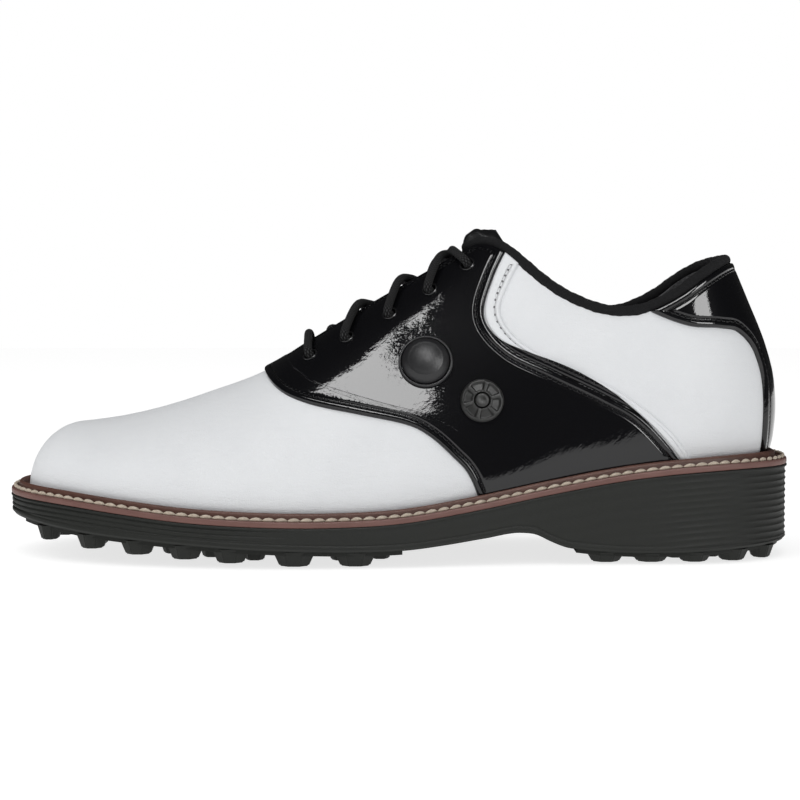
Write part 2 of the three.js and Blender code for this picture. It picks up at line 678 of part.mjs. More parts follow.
// Rows at fixed shares of the tongue's half width; a station turns them into v.
function tongueShell(outer, inner) {
  const rows = [...TONGUE_ROWS.map((w) => -w), 0, ...TONGUE_ROWS.toReversed()];
  const toV = (u, w) => {
    const round = Math.acos(Math.min((Math.abs(w) * tongueHalf(u)) / halfWidth(u), 1));
    return Math.sign(w) * (1 - round / (Math.PI / 2));
  };
  return shell(outer, inner, tongueStations, rows, toV);
}
add("tongue", tongueShell(tongueFace, (u, v) => tongueFace(u, v) - TONGUE_LEATHER), PATENT);
const foamTop = TONGUE_LEATHER + GAP;
const foamLow = (u) => tongueWing(u) - foamTop - foamDepth(u);
add("tongue_foam", tongueShell((u, v) => tongueFace(u, v) - foamTop, foamLow), FOAM);
add("tongue_lining", tongueShell((u) => foamLow(u) - GAP, (u) => foamLow(u) - GAP - LINING), BLACK_TEXTILE);

// ---------------------------------------------------------------- bottom
const weltZ = (x) => featherZ(x) - WELT_THICK;
const UPPER_IN = LINING_IN + GAP;
const STRIP_IN = -(UPPER_IN + 1.3);
const strip = planPrism(WELT_WIDTH, OUTSOLE_REAR).subtract(planPrism(STRIP_IN))
  .intersect(band(weltZ, (x) => featherZ(x) - GAP));
const LIP_IN = OVER + 0.9; // the lip stands clear of the upper's belly
const lip = planPrism(LIP_IN + LIP_THICK).subtract(planPrism(LIP_IN))
  .intersect(band((x) => featherZ(x) - 2 * GAP, (x) => featherZ(x) + LIP_HEIGHT));
add("welt", largest(strip.add(lip)), WELT);

add(
  "insole_board",
  planPrism(-(UPPER_IN + 0.4)).intersect(band(featherZ, (x) => featherZ(x) + BOARD)),
  BOARD_FIBRE,
);
add(
  "footbed",
  planPrism(-(UPPER_IN + 1.4)).intersect(
    band((x) => featherZ(x) + BOARD + GAP, (x) => featherZ(x) + BOARD + GAP + FOOTBED)),
  BLACK_TEXTILE,
);

const SHANK_AT = 36;
function shankPrism(extra) {
  const geometry = extrude(
    [[-1, -1], [1, -1], [1, 1], [-1, 1]].map(([a, b]) => new THREE.Vector2(
      SHANK_AT * GRADE[0] + a * (SHANK[0] / 2 + extra), b * (SHANK[1] / 2 + extra))), FAR);
  geometry.translate(0, 0, -FAR / 2);
  return solidOf(geometry);
}
const shankLow = 0.3;
add(
  "shank",
  shankPrism(0).intersect(band((x) => weltZ(x) + shankLow, (x) => weltZ(x) + shankLow + SHANK[2])),
  STEEL,
);
const pocket = shankPrism(GAP).intersect(
  band((x) => weltZ(x) - 1, (x) => weltZ(x) + shankLow + SHANK[2] + GAP));
add(
  "cork_filler",
  planPrism(STRIP_IN - GAP).intersect(band(weltZ, (x) => featherZ(x) - GAP)).subtract(pocket),
  CORK,
);

// underside of the outsole's body, from the toe to the back of the heel
const UNDERSIDE = [
  [-170, 17], [-152, 15.6], [-130, 12.9], [-112, 10.9], [-90, 9.1], [-58, 6.9], [-33, 6], [-10, 5.7],
  [4, 6.2], [18, 7.8], [32, 9.9], [46, 11.8], [51, 11.2], [57, 8.4], [63, 6.1], [68, 5.4], [140, 5.4],
  [170, 6.5],
];
const underside = profile(UNDERSIDE);
const BREAST_X = 66; // front of the heel's flat underside
const FORE_END = 2; // rear end of the forefoot tread
const soleTop = (x) => weltZ(x) - GAP;
add(
  "outsole_unit",
  planPrism(WELT_WIDTH, OUTSOLE_REAR)
    .intersect(band(() => 0, soleTop))
    .intersect(sideSlab([...graded(UNDERSIDE), [170 * GRADE[0], HIGH], [-170 * GRADE[0], HIGH]])),
  RUBBER,
);

// Lug faces of the forefoot: flat on the floor behind the ball and rising to the toe.
const lugFoot = profile([
  [-152, 9.6], [-112, 5], [-90, 3.3], [-66, 1.6], [-46, 0.4], [-30, 0], [-20, 0], [10, 0],
]);
const LUG_PITCH = 17;
const LUG_R = 5.4;
const HEEL_LUG_FOOT = 0;
const TREAD_IN = 3;

// A tread: a thin plate under the outsole's body with one lug at each place in the pattern.
function tread(low, high, foot, rows, columns) {
  const plate = planPrism(WELT_WIDTH - TREAD_IN).intersect(sideSlab([
    ...graded([[low, -9], [high, -9]]),
    ...underLine(high, low),
  ])).subtract(sideSlab([
    ...graded([[low - 9, -10], [high + 9, -10]]),
    ...underLine(high + 9, low - 9, TREAD_BASE),
  ]));
  let made = plate;
  const fits = planPrism(WELT_WIDTH - TREAD_IN - LUG_R * 0.9);
  for (const [i, x] of rows.entries()) {
    for (const column of columns) {
      const y = column + (i % 2 ? LUG_PITCH / 2 : 0);
      const base = Math.max(foot(x), 0) * GRADE[2];
      const top = underside(x) * GRADE[2] - GAP - 0.4;
      const geometry = new THREE.CylinderGeometry(LUG_R, LUG_R * 0.72, top - base, 6);
      geometry.rotateX(Math.PI / 2);
      geometry.translate(x * GRADE[0], y, (top + base) / 2);
      const lug = solidOf(geometry);
      if (lug.intersect(fits).volume() < lug.volume() * 0.9) continue;
      made = made.add(lug);
    }
  }
  return made;
}

function underLine(from, to, drop = 0) {
  const points = [];
  const n = Math.max(2, Math.round(Math.abs(from - to) / BAND_STEP));
  for (let i = 0; i <= n; i++) {
    const x = from + ((to - from) * i) / n;
    points.push([x * GRADE[0], underside(x) * GRADE[2] - GAP - 0.2 - drop]);
  }
  return points;
}

const COLUMNS = [-51, -34, -17, 0, 17, 34];
const foreRows = [];
for (let x = -138; x <= -2; x += LUG_PITCH) foreRows.push(x);
add("forefoot_tread", largest(tread(-146, FORE_END, lugFoot, foreRows, COLUMNS)), RUBBER);
const heelRows = [];
for (let x = BREAST_X + 8; x <= 142; x += LUG_PITCH - 2) heelRows.push(x);
add("heel_tread", largest(tread(BREAST_X, 152, () => HEEL_LUG_FOOT, heelRows, COLUMNS)), RUBBER);

// ---------------------------------------------------------------- pump and release valve
const FLOOR = -(MID_IN - 0.1);
const SOCKET_FLOOR = 0.8;
const FLANGE = OVER + 0.5;
add(
  "pump_socket",
  placed(lathe([
    [0, FLOOR],
    [SOCKET_R, FLOOR],
    [SOCKET_R, FLANGE],
    [SOCKET_R + 0.8, FLANGE],
    [SOCKET_R + 0.4, FLANGE + 0.9],
    [PUMP_R + GAP, FLANGE + 0.9], [PUMP_R + GAP, FLOOR + SOCKET_FLOOR], [0, FLOOR + SOCKET_FLOOR],
  ], 20), ...PUMP_AT, -1),
  PUMP_RUBBER,
);
const RIM = FLOOR + SOCKET_FLOOR + PUMP_TRAVEL + 0.2;
const SHOULDER = FLANGE + 0.9;
const BULB_WALL = 1.2;
const DOME_STEPS = 4;
const dome = (radius, rise, floor) => {
  const points = [];
  for (let i = 0; i < DOME_STEPS; i++) {
    const a = ((Math.PI / 2) * i) / DOME_STEPS;
    points.push([radius * Math.cos(a), floor + rise * Math.sin(a)]);
  }
  points.push([0, floor + rise]);
  return points;
};
add(
  "pump_bulb",
  placed(lathe([
    [PUMP_R - BULB_WALL, RIM], [PUMP_R, RIM], ...dome(PUMP_R, PUMP_RISE, SHOULDER),
    ...dome(PUMP_R - BULB_WALL, PUMP_RISE - BULB_WALL, SHOULDER).toReversed(), [PUMP_R - BULB_WALL, RIM],
  ], 16), ...PUMP_AT, -1),
  PUMP_RUBBER,
);
const FLOOR_TOP = FLOOR + SOCKET_FLOOR;
add("pump_check_valve", placed(rod(2, FLOOR_TOP + GAP, FLOOR_TOP + GAP + 0.9, 10), ...PUMP_AT, -1), BLADDER);

const BEZEL_LOW = OVER + 0.4;
const BEZEL_HIGH = OVER + 2.1;
let bezel = placed(lathe([
  [0, FLOOR], [NECK_R, FLOOR], [NECK_R, BEZEL_LOW], [VALVE_R - 0.4, BEZEL_LOW], [VALVE_R, BEZEL_LOW + 0.5],
  [VALVE_R - 0.9, BEZEL_HIGH], [HUB_R + GAP, BEZEL_HIGH], [HUB_R + GAP, FLOOR_TOP], [0, FLOOR_TOP],
], 24), ...VALVE_AT, -1);
const POCKETS = 6;
const POCKET_DEPTH = 0.9;
for (let i = 0; i < POCKETS; i++) {
  const wedge = extrude([[4.1, -1.1], [6.9, -1.9], [6.9, 1.9], [4.1, 1.1]]
    .map(([x, y]) => new THREE.Vector2(x, y)), 2);
  wedge.rotateX(-Math.PI / 2);
  wedge.rotateY((2 * Math.PI * i) / POCKETS);
  wedge.translate(0, BEZEL_HIGH - POCKET_DEPTH, 0);
  bezel = bezel.subtract(placed(wedge, ...VALVE_AT, -1));
}
add("release_bezel", bezel, PUMP_RUBBER);
const HUB_HIGH = BEZEL_HIGH + 0.7;
const HUB_LOW = FLOOR_TOP + 2.2;
add("release_button", placed(rod(HUB_R, HUB_LOW, HUB_HIGH, 14), ...VALVE_AT, -1), PUMP_RUBBER);
add(
  "release_spring",
  placed(ring(1.4, 2.3, FLOOR_TOP + GAP, HUB_LOW - HUB_TRAVEL - GAP, 12), ...VALVE_AT, -1),
  STEEL,
);

// ---------------------------------------------------------------- eyelets
for (const [name, side] of SIDES) {
  for (const [i, [x, z]] of EYELETS.entries()) {
    const grommet = lathe([
      [EYELET_BORE, EYELET_FOOT],
      [EYELET_R, EYELET_FOOT],
      [EYELET_R, OVER + 0.2],
      [EYELET_BORE, OVER + 0.2],
      [EYELET_BORE, EYELET_FOOT],
    ], 8);
    add("eyelet_" + name + "_" + (i + 1), placed(grommet, x, z, side), PUMP_RUBBER);
  }
}

// ---------------------------------------------------------------- lace
const LACE_OVER = OVER + LACE_R + 0.5; // depth of a run over a facing
const LACE_UNDER = -(LINING_IN + LACE_R + 1.1); // and under it
const CROSS = [0.4, -2.7]; // the upper and the lower strand where they cross
const acrossPoint = (u, y, d) => {
  const round = Math.acos(clamp01(Math.abs(y) / halfWidth(u)));
  return offsetPoint(u, Math.sign(y) * (1 - round / (Math.PI / 2)), d);
};
const atEyelet = (i, side, d) => {
  const [u, v] = onSide(...EYELETS[i], side);
  return offsetPoint(u, v, d);
};

// One end of the lace, from the bar at the first eyelets up to the last one. side is the side of
// the first eyelet, and which says whether this strand is the upper one at the first crossing.
function strand(side, which) {
  const points = [atEyelet(0, side, LACE_OVER), atEyelet(0, side, OVER - 1), atEyelet(0, side, LACE_UNDER)];
  let here = side;
  for (let i = 0; i + 1 < EYELETS.length; i++) {
    const [from, to] = [EYELETS[i][0], EYELETS[i + 1][0]];
    const mid = from + (to - from) * 0.5;
    const height = CROSS[(i + which) % 2];
    if (i > 0) {
      const near = from + (to - from) * 0.3;
      points.push(atEyelet(i, here, 0), atEyelet(i, here, LACE_OVER + 0.4));
      points.push(acrossPoint(near, here * (halfSlot(near) + 0.6), LACE_OVER + 0.2));
    } else {
      points.push(acrossPoint(from + 3, here * (halfSlot(from) + 1.6), LACE_UNDER));
    }
    points.push(acrossPoint(mid, 0, height));
    here = -here;
    const far = from + (to - from) * 0.72;
    points.push(acrossPoint(far, here * (halfSlot(far) - 1.5 * LACE_R - 0.1), LACE_UNDER + 1.2));
    points.push(acrossPoint(far, here * (halfSlot(far) + 1.2), LACE_UNDER));
    points.push(atEyelet(i + 1, here, LACE_UNDER));
  }
  const end = EYELETS.length - 1;
  const out = EYELETS[end][0] - 4;
  points.push(atEyelet(end, here, 0), atEyelet(end, here, LACE_OVER + 0.4));
  points.push(acrossPoint(out, here * (halfSlot(out) + 0.6), LACE_OVER + 0.8));
  points.push(acrossPoint(out - 1, here * (halfSlot(out) - 1.5 * LACE_R - 0.5), OVER - 2));
  points.push(acrossPoint(out - 1.5, here * (halfSlot(out) - LACE_R - 0.6), LACE_UNDER + 1));
  points.push(acrossPoint(out - 2, here * (halfSlot(out) + 2), LACE_UNDER));
  return points;
}

const barMiddle = acrossPoint(EYELETS[0][0], 0, LACE_OVER + 0.3);
const barSide = (side) => acrossPoint(EYELETS[0][0], side * 8, LACE_OVER + 0.2);
const strands = [strand(-1, 0), strand(1, 1)];
const lacePoints = [...strands[0].toReversed(), barSide(-1), barMiddle, barSide(1), ...strands[1]];
add("lace", tube(lacePoints, LACE_R), BLACK_TEXTILE);

// The lace's two ends are tucked down inside the shoe and lie on the footbed.
const restZ = (x) => featherZ(x) + BOARD + GAP + FOOTBED + LACE_R + 0.4;
const TAIL_X = EYELETS[4][0] - 6;
const TAIL_DOWN = [[TAIL_X, 101], [TAIL_X, 93], [TAIL_X, 82], [TAIL_X, 70], [TAIL_X, 58], [TAIL_X + 1, 46]];
const TAIL_FLAT = [
  [26, 26], [34, 22.5], [44, 20], [55, 18.6], [66, 18], [77, 17], [87, 15], [94, 11.5], [95, 7],
  [89, 4.6], [80, 4.4], [70, 4.8],
];
const AGLET = 20;
for (const [name, side] of SIDES) {
  const [before, strandEnd] = strands
    .map((s) => s.slice(-2))
    .find(([, p]) => Math.sign(p.y - AXIS_Y) === side);
  const heading = strandEnd.clone().sub(before).normalize();
  const points = [
    strandEnd.clone().addScaledVector(heading, GAP + 0.05),
    strandEnd.clone().addScaledVector(heading, 2),
    acrossPoint(TAIL_X, side * 16, LACE_UNDER),
    ...along(TAIL_DOWN, side, LACE_UNDER - 0.2),
    ...TAIL_FLAT.map(([x, y]) => new THREE.Vector3(x * GRADE[0], side * y * GRADE[1], restZ(x))),
  ];
  add("lace_tail_" + name, tube(points, LACE_R), BLACK_TEXTILE);
  const end = points.at(-1);
  const tip = new THREE.Vector3(end.x - AGLET, end.y + side * 0.6, restZ((end.x - AGLET) / GRADE[0]));
  const tilt = tip.clone().sub(end).normalize();
  add("aglet_" + name, tube([end.clone().addScaledVector(tilt, GAP), tip], LACE_R + 0.15), PATENT);
}

export default shoe;
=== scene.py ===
import math

import bpy
import bmesh
import numpy as np
from mathutils import Matrix, Vector
from mathutils.kdtree import KDTree


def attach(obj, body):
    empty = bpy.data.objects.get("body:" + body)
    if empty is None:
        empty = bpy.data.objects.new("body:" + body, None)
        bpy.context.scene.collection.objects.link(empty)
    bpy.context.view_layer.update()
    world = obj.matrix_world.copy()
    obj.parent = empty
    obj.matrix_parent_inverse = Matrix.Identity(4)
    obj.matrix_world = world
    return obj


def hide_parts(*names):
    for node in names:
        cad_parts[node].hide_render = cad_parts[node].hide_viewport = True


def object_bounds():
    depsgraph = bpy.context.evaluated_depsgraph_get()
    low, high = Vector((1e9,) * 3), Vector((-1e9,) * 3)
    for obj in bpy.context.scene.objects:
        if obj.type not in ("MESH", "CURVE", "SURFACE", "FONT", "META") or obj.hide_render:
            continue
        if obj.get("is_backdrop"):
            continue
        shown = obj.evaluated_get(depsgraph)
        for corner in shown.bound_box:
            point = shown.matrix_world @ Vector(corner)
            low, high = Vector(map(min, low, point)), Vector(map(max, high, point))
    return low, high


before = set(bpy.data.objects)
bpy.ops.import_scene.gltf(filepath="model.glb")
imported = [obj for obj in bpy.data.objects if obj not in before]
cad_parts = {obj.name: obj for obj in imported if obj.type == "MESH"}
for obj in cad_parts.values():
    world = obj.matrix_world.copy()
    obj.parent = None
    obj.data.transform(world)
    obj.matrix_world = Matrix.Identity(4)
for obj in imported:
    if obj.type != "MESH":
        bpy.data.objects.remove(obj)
cad_low, cad_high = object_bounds()

# ---------------- camera, floor and lights
# The shoe stands on a pale studio floor and is seen square on to its outer side, from just
# above the instep. Two lamps light it softly. A flagged softbox over the instep and another on the
# heel's side show only as reflections in glossy surfaces.
CAMERA_AT, CAMERA_TILT, LENS, FILM_WIDE = (0.0006, -0.700, 0.098), 86.8, 80, 36
bpy.ops.object.select_all(action="DESELECT")
bpy.ops.object.camera_add(location=CAMERA_AT, rotation=(math.radians(CAMERA_TILT), 0, 0))
camera = bpy.context.object
camera.data.lens = LENS
camera.data.sensor_width = FILM_WIDE
camera.data.dof.use_dof = False
scene = bpy.context.scene
scene.camera = camera
scene.view_settings.view_transform = "Standard"


def node(tree, kind, feeds=None, **settings):
    """A shader node with its settings; feeds gives its sockets a value or another node's output."""
    made = tree.nodes.new("ShaderNode" + kind)
    for key, value in settings.items():
        setattr(made, key, value)
    for key, value in (feeds or {}).items():
        if isinstance(value, bpy.types.NodeSocket):
            tree.links.new(value, made.inputs[key])
        else:
            made.inputs[key].default_value = value
    return made


# How bright the surroundings are to the camera, to matt surfaces and in reflections.
BACKDROP, SKY_LIGHT, SKY_GLOSS = 1.0, 0.50, 0.02
world = bpy.data.worlds.new("studio")
scene.world = world
world.use_nodes = True
sky = world.node_tree
sky.nodes.clear()
rays = node(sky, "LightPath").outputs
seen = node(sky, "Background", {"Color": (1, 1, 1, 1), "Strength": BACKDROP})
lit = node(sky, "Background", {"Color": (1, 1, 1, 1), "Strength": SKY_LIGHT})
glossed = node(sky, "Background", {"Color": (1, 1, 1, 1), "Strength": SKY_GLOSS})
soft = node(sky, "MixShader", {0: rays["Is Glossy Ray"], 1: lit.outputs[0], 2: glossed.outputs[0]})
both = node(sky, "MixShader", {0: rays["Is Camera Ray"], 1: soft.outputs[0], 2: seen.outputs[0]})
node(sky, "OutputWorld", {0: both.outputs[0]})

FLOOR_WIDE, FLOOR_LOW, FLOOR_GREY, FLOOR_GLOW = 6, -0.0005, 0.5, 0.74
bpy.ops.mesh.primitive_plane_add(size=FLOOR_WIDE, location=(0, 0, FLOOR_LOW))
floor = bpy.context.object
floor.name = "floor"
floor.data.transform(floor.matrix_world)
floor.matrix_world = Matrix.Identity(4)
floor_paint = bpy.data.materials.new("pale floor")
floor_paint.use_nodes = True
floor_shader = floor_paint.node_tree.nodes["Principled BSDF"]
floor_shader.inputs["Base Color"].default_value = (FLOOR_GREY, FLOOR_GREY, FLOOR_GREY, 1)
floor_shader.inputs["Roughness"].default_value = 0.9
floor_shader.inputs["Specular IOR Level"].default_value = 0.1
floor_shader.inputs["Emission Color"].default_value = (1, 1, 1, 1)
floor_shader.inputs["Emission Strength"].default_value = FLOOR_GLOW
floor.data.materials.append(floor_paint)
floor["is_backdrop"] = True

LAMPS_AIM = Vector((0, 0, 0.06))


def toward(around, up):
    """The direction at a compass angle, from the camera's side toward the heel, and a height angle."""
    around, up = math.radians(around), math.radians(up)
    return Vector((math.sin(around) * math.cos(up), -math.cos(around) * math.cos(up), math.sin(up)))

# Each lamp: compass angle, height angle, distance, width, height, power, and whether it lights
# matt surfaces or only shows in glossy ones.
LAMPS = {
    "softbox_heel": (42, 19, 1.2, 0.42, 0.46, 6, False),
    "ceiling": (-25, 62, 1.6, 1.4, 1.0, 6.4, True),
    "toe_fill": (-62, 38, 1.5, 1.2, 1.0, 3.2, True),
}
for name, (around, up, far, wide, tall, power, lights_matt) in LAMPS.items():
    away = toward(around, up)
    bpy.ops.object.light_add(type="AREA", location=LAMPS_AIM + away * far)
    lamp = bpy.context.object
    lamp.name = name
    lamp.rotation_euler = away.to_track_quat("Z", "Y").to_euler()
    lamp.data.shape = "RECTANGLE"
    lamp.data.size = wide
    lamp.data.size_y = tall
    lamp.data.energy = power
    lamp.visible_diffuse = lights_matt
    lamp.visible_glossy = not lights_matt
    lamp.visible_camera = False

# The softbox over the instep is flagged to a slanted shape, so that its reflection stays on the
# saddle's front half; its corners are compass and height angles, on a plane facing the shoe.
SOFTBOX_CORNERS = [(-46, 61), (-26, 56.5), (-15, 50), (-6, 43), (4, 31), (15, 31), (15, 62), (-20, 63)]
SOFTBOX_FACING, SOFTBOX_FAR, SOFTBOX_GLOW = toward(-10, 50), 1.3, 10.5
corners = [toward(*angles) for angles in SOFTBOX_CORNERS]
corners = [LAMPS_AIM + way * (SOFTBOX_FAR / way.dot(SOFTBOX_FACING)) for way in corners]
bpy.ops.object.select_all(action="DESELECT")
bpy.ops.mesh.primitive_circle_add(vertices=len(corners), fill_type="NGON")
softbox = bpy.context.object
softbox.name = "softbox_instep"
for vert, corner in zip(softbox.data.vertices, corners):
    vert.co = corner
softbox.matrix_world = Matrix.Identity(4)
glow = bpy.data.materials.new("softbox")
glow.use_nodes = True
glow.node_tree.nodes.clear()
lit_cloth = node(glow.node_tree, "Emission", {"Color": (1, 1, 1, 1), "Strength": SOFTBOX_GLOW})
node(glow.node_tree, "OutputMaterial", {0: lit_cloth.outputs[0]})
softbox.data.materials.append(glow)
softbox.visible_camera = False
softbox.visible_diffuse = False
softbox.visible_shadow = False
softbox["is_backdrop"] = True

# ---------------- the last
# The wooden form that the upper is pulled over, and the surface on which every soft layer is drawn.
# u runs from toe to heel; v runs from -1 at the outer side's feather edge, where the upper meets the
# sole, over 0 on the ridge to 1 at the inner side's. All sizes here are in millimetres.
MM = 0.001


def profile(points):
    """A smooth curve through (x, value) points, flat beyond its ends."""
    xs, ys = np.array(points, float).T
    h = np.diff(xs)
    d = np.diff(ys) / h
    m = np.empty_like(xs)
    m[0], m[-1] = d[0], d[-1]
    m[1:-1] = (d[:-1] * h[1:] + d[1:] * h[:-1]) / (h[1:] + h[:-1])

    def at(x):
        x = np.clip(np.asarray(x, float), xs[0], xs[-1])
        i = np.clip(np.searchsorted(xs, x, side="right") - 1, 0, len(h) - 1)
        t = (x - xs[i]) / h[i]
        rise = (2 * t**3 - 3 * t**2 + 1) * ys[i] + (t**3 - 2 * t**2 + t) * h[i] * m[i]
        return rise + (3 * t**2 - 2 * t**3) * ys[i + 1] + (t**3 - t**2) * h[i] * m[i + 1]

    return at


# The toe: where it starts to round down, and over how long its plan rounds in. The heel: where the
# sides turn round it, how far back that goes, and the middle of the shoe's width.
TOE_X, TOE_ROUND, TOE_PLAN = -145.6, 20, 60
HEEL_X, BACK_X, AXIS_Y = 106, 146.4, 1.1
TOE_START = TOE_X + TOE_ROUND
feather = profile([
    (-152, 25.8), (-125, 24.2), (-105, 22), (-80, 19.3), (-52, 17.8), (-25, 17.5), (0, 18.6), (30, 23.2),
    (58, 28.8), (86, 33.8), (110, 36.5), (130, 37.6), (152, 37.6)])
crest = profile([
    (-146, 49), (-125, 50.4), (-110, 52.4), (-94, 56), (-78, 61), (-62, 66.5), (-46, 74), (-34, 81.7),
    (-10, 97), (17, 114.2), (30, 122.5), (60, 142), (90, 160), (108, 170), (150, 178)])
half_width = profile([
    (-146, 41), (-120, 42.3), (-100, 43.9), (-80, 46.5), (-60, 47.9), (-40, 47.2), (-20, 44.5), (0, 40.8),
    (20, 37.2), (40, 34.9), (60, 34), (104, 33.5), (150, 33.5)])
midline = profile([
    (-146, 3), (-120, 1.5), (-80, 0), (-60, -0.9), (-40, -2.2), (-20, -3.5), (0, -4.8), (20, -5),
    (40, -4.2), (60, -3), (104, -1), (150, 0)])
ridge = profile([(-146, 3.5), (-90, 3.5), (-62, 1.6), (-42, -1.1), (-30, -1.1), (150, -1.1)])
fullness = profile([(-146, 2.2), (-70, 2.3), (-30, 1.8), (0, 1.6), (30, 1.7), (60, 2.2), (150, 2.2)])
back_line = profile([
    (36, 142.4), (42, 144.8), (50, 146.1), (60, 146.4), (69, 145.4), (80, 142.4), (99, 134.6),
    (113, 128.6), (140, 118), (180, 108)])


def toe_rise(x):
    return np.sqrt(np.clip(1 - np.clip((TOE_START - x) / TOE_ROUND, 0, 1) ** 2, 0, 1))


def last(u, v):
    """The upper's outer face at (u, v), as an array of points."""
    u, v = np.broadcast_arrays(np.asarray(u, float), np.asarray(v, float))
    bend = math.pi / 2 * (1 - np.abs(v))
    side = np.where(v < 0, -1.0, 1.0)
    x = np.where(u >= TOE_START, u,
                 TOE_START - TOE_ROUND * np.sin(math.pi / 2 * np.clip((TOE_START - u) / TOE_ROUND, 0, 1)))
    base = feather(x)
    share = np.clip(np.sin(bend), 0, 1) ** (2 / fullness(x))
    z = base + (crest(x) - base) * toe_rise(x) * share
    plan = (1 - (1 - np.clip((x - TOE_X) / TOE_PLAN, 0, 1)) ** 2.2) ** (1 / 2.2)
    turn = math.pi / 2 * np.clip((u - HEEL_X) / (BACK_X - HEEL_X), 0, 1)
    s = (z - base) / 12
    across = np.maximum(np.cos(bend), 0)
    belly = 1.2 * plan * s * np.exp(1 - s) * np.sqrt(across)
    reach = (half_width(x) * plan * across + belly) * np.maximum(np.cos(turn), 0) ** 0.9
    centre = AXIS_Y + midline(x) * (1 - share) + ridge(x) * share
    along = np.where(u > HEEL_X, HEEL_X + (back_line(z) - HEEL_X) * np.sin(turn), x)
    return np.stack([along, centre + side * reach, z], -1)


def last_normal(u, v):
    u, v = np.broadcast_arrays(np.asarray(u, float), np.asarray(v, float))
    at = np.clip(v, -0.996, 0.996)
    a = last(np.minimum(u + 0.2, BACK_X), at) - last(np.maximum(u - 0.2, TOE_X), at)
    b = last(u, at + 0.002) - last(u, at - 0.002)
    n = np.cross(a, b)
    rear = u >= BACK_X - 0.3
    n[rear] = np.stack([np.abs(b[..., 2]), 0 * u, -np.sign(b[..., 2]) * b[..., 0]], -1)[rear]
    n[u <= TOE_X + 0.3] = (-1, 0, 0)
    return n / np.maximum(np.linalg.norm(n, axis=-1, keepdims=True), 1e-9)


def offset(u, v, depth):
    """Points at a height above the upper's outer face."""
    return last(u, v) + last_normal(u, v) * np.asarray(depth, float)[..., None]


def on_side(x, z, side):
    """The (u, v) of a side-view point; side is -1 for the outer side and 1 for the inner."""
    x, z = np.asarray(x, float), np.asarray(z, float)
    toe = np.clip((TOE_START - x) / TOE_ROUND, 0, 1)
    heel = np.clip((x - HEEL_X) / (back_line(z) - HEEL_X), 0, 1)
    u = np.where(x < TOE_START, TOE_START - TOE_ROUND * (2 / math.pi) * np.arcsin(toe), x)
    u = np.where(x > HEEL_X, HEEL_X + np.arcsin(heel) / (math.pi / 2) * (BACK_X - HEEL_X), u)
    at = np.where(x > HEEL_X, u, x)
    height = np.maximum((crest(at) - feather(at)) * toe_rise(at), 1e-6)
    share = np.clip((z - feather(at)) / height, 0, 1)
    return u, side * (1 - np.arcsin(share ** (fullness(at) / 2)) / (math.pi / 2))


# ---------------- the lace
# One round braided cotton lace through five pairs of eyelets. Its two ends go down inside the
# shoe, lie along the footbed and are finished with hard plastic tips.


def new_grid(columns, rows):
    """A grid primitive, and for each of its vertices the column and the row."""
    bpy.ops.object.select_all(action="DESELECT")
    bpy.ops.mesh.primitive_grid_add(x_subdivisions=columns, y_subdivisions=rows, size=2)
    piece = bpy.context.object
    flat = np.empty(len(piece.data.vertices) * 3)
    piece.data.vertices.foreach_get("co", flat)
    flat = flat.reshape(-1, 3)
    i = np.rint((flat[:, 0] + 1) / 2 * columns).astype(int)
    j = np.rint((flat[:, 1] + 1) / 2 * rows).astype(int)
    return piece, i, j


def shape(piece, points):
    """Moves the vertices to points, in millimetres."""
    piece.data.vertices.foreach_set("co", (np.asarray(points, float) * MM).ravel())
    piece.data.update()


def tidy_mesh(piece, weld=2e-6, drop=None, flip=False, fill=False, outward=False):
    """Welds doubled vertices, removes the faces that drop() picks, closes open ends if told to fill,
    and turns normals outward: flip for an open sheet that came out wrong side up, outward for a
    closed body."""
    bm = bmesh.new()
    bm.from_mesh(piece.data)
    if drop is not None:
        bmesh.ops.delete(bm, geom=[f for f in bm.faces if drop(f)], context="FACES")
    bmesh.ops.remove_doubles(bm, verts=bm.verts, dist=weld)
    bmesh.ops.dissolve_degenerate(bm, edges=bm.edges, dist=1e-7)
    if fill:
        bmesh.ops.holes_fill(bm, edges=[e for e in bm.edges if e.is_boundary], sides=0)
    if flip:
        bmesh.ops.reverse_faces(bm, faces=bm.faces)
    if outward:
        bmesh.ops.recalc_face_normals(bm, faces=bm.faces)
    bm.to_mesh(piece.data)
    bm.free()


def record_values(piece, **values):
    """Stores one number per vertex under each name."""
    for name, value in values.items():
        layer = piece.data.attributes.new(name, "FLOAT", "POINT")
        layer.data.foreach_set("value", np.asarray(value, np.float32).ravel())


def spline(points, per=24):
    """A smooth line through the points."""
    p = np.array(points, float)
    t = np.linspace(0, 1, per, endpoint=False)[:, None]
    out = []
    for i in range(len(p) - 1):
        p0, p1, p2, p3 = p[max(i - 1, 0)], p[i], p[i + 1], p[min(i + 2, len(p) - 1)]
        v0, v1 = (p2 - p0) / 2, (p3 - p1) / 2
        out.append((2 * p1 - 2 * p2 + v0 + v1) * t**3
                   + (3 * p2 - 3 * p1 - 2 * v0 - v1) * t**2 + v0 * t + p1)
    return np.concatenate(out + [p[-1:]])


def walk(points):
    """How far along the line each of its points is."""
    return np.concatenate([[0], np.cumsum(np.linalg.norm(np.diff(points, axis=0), axis=1))])


def even(points, count):
    """The line with count points at even steps."""
    far = walk(points)
    at = np.linspace(0, far[-1], count)
    return np.stack([np.interp(at, far, points[:, k]) for k in range(points.shape[1])], -1)


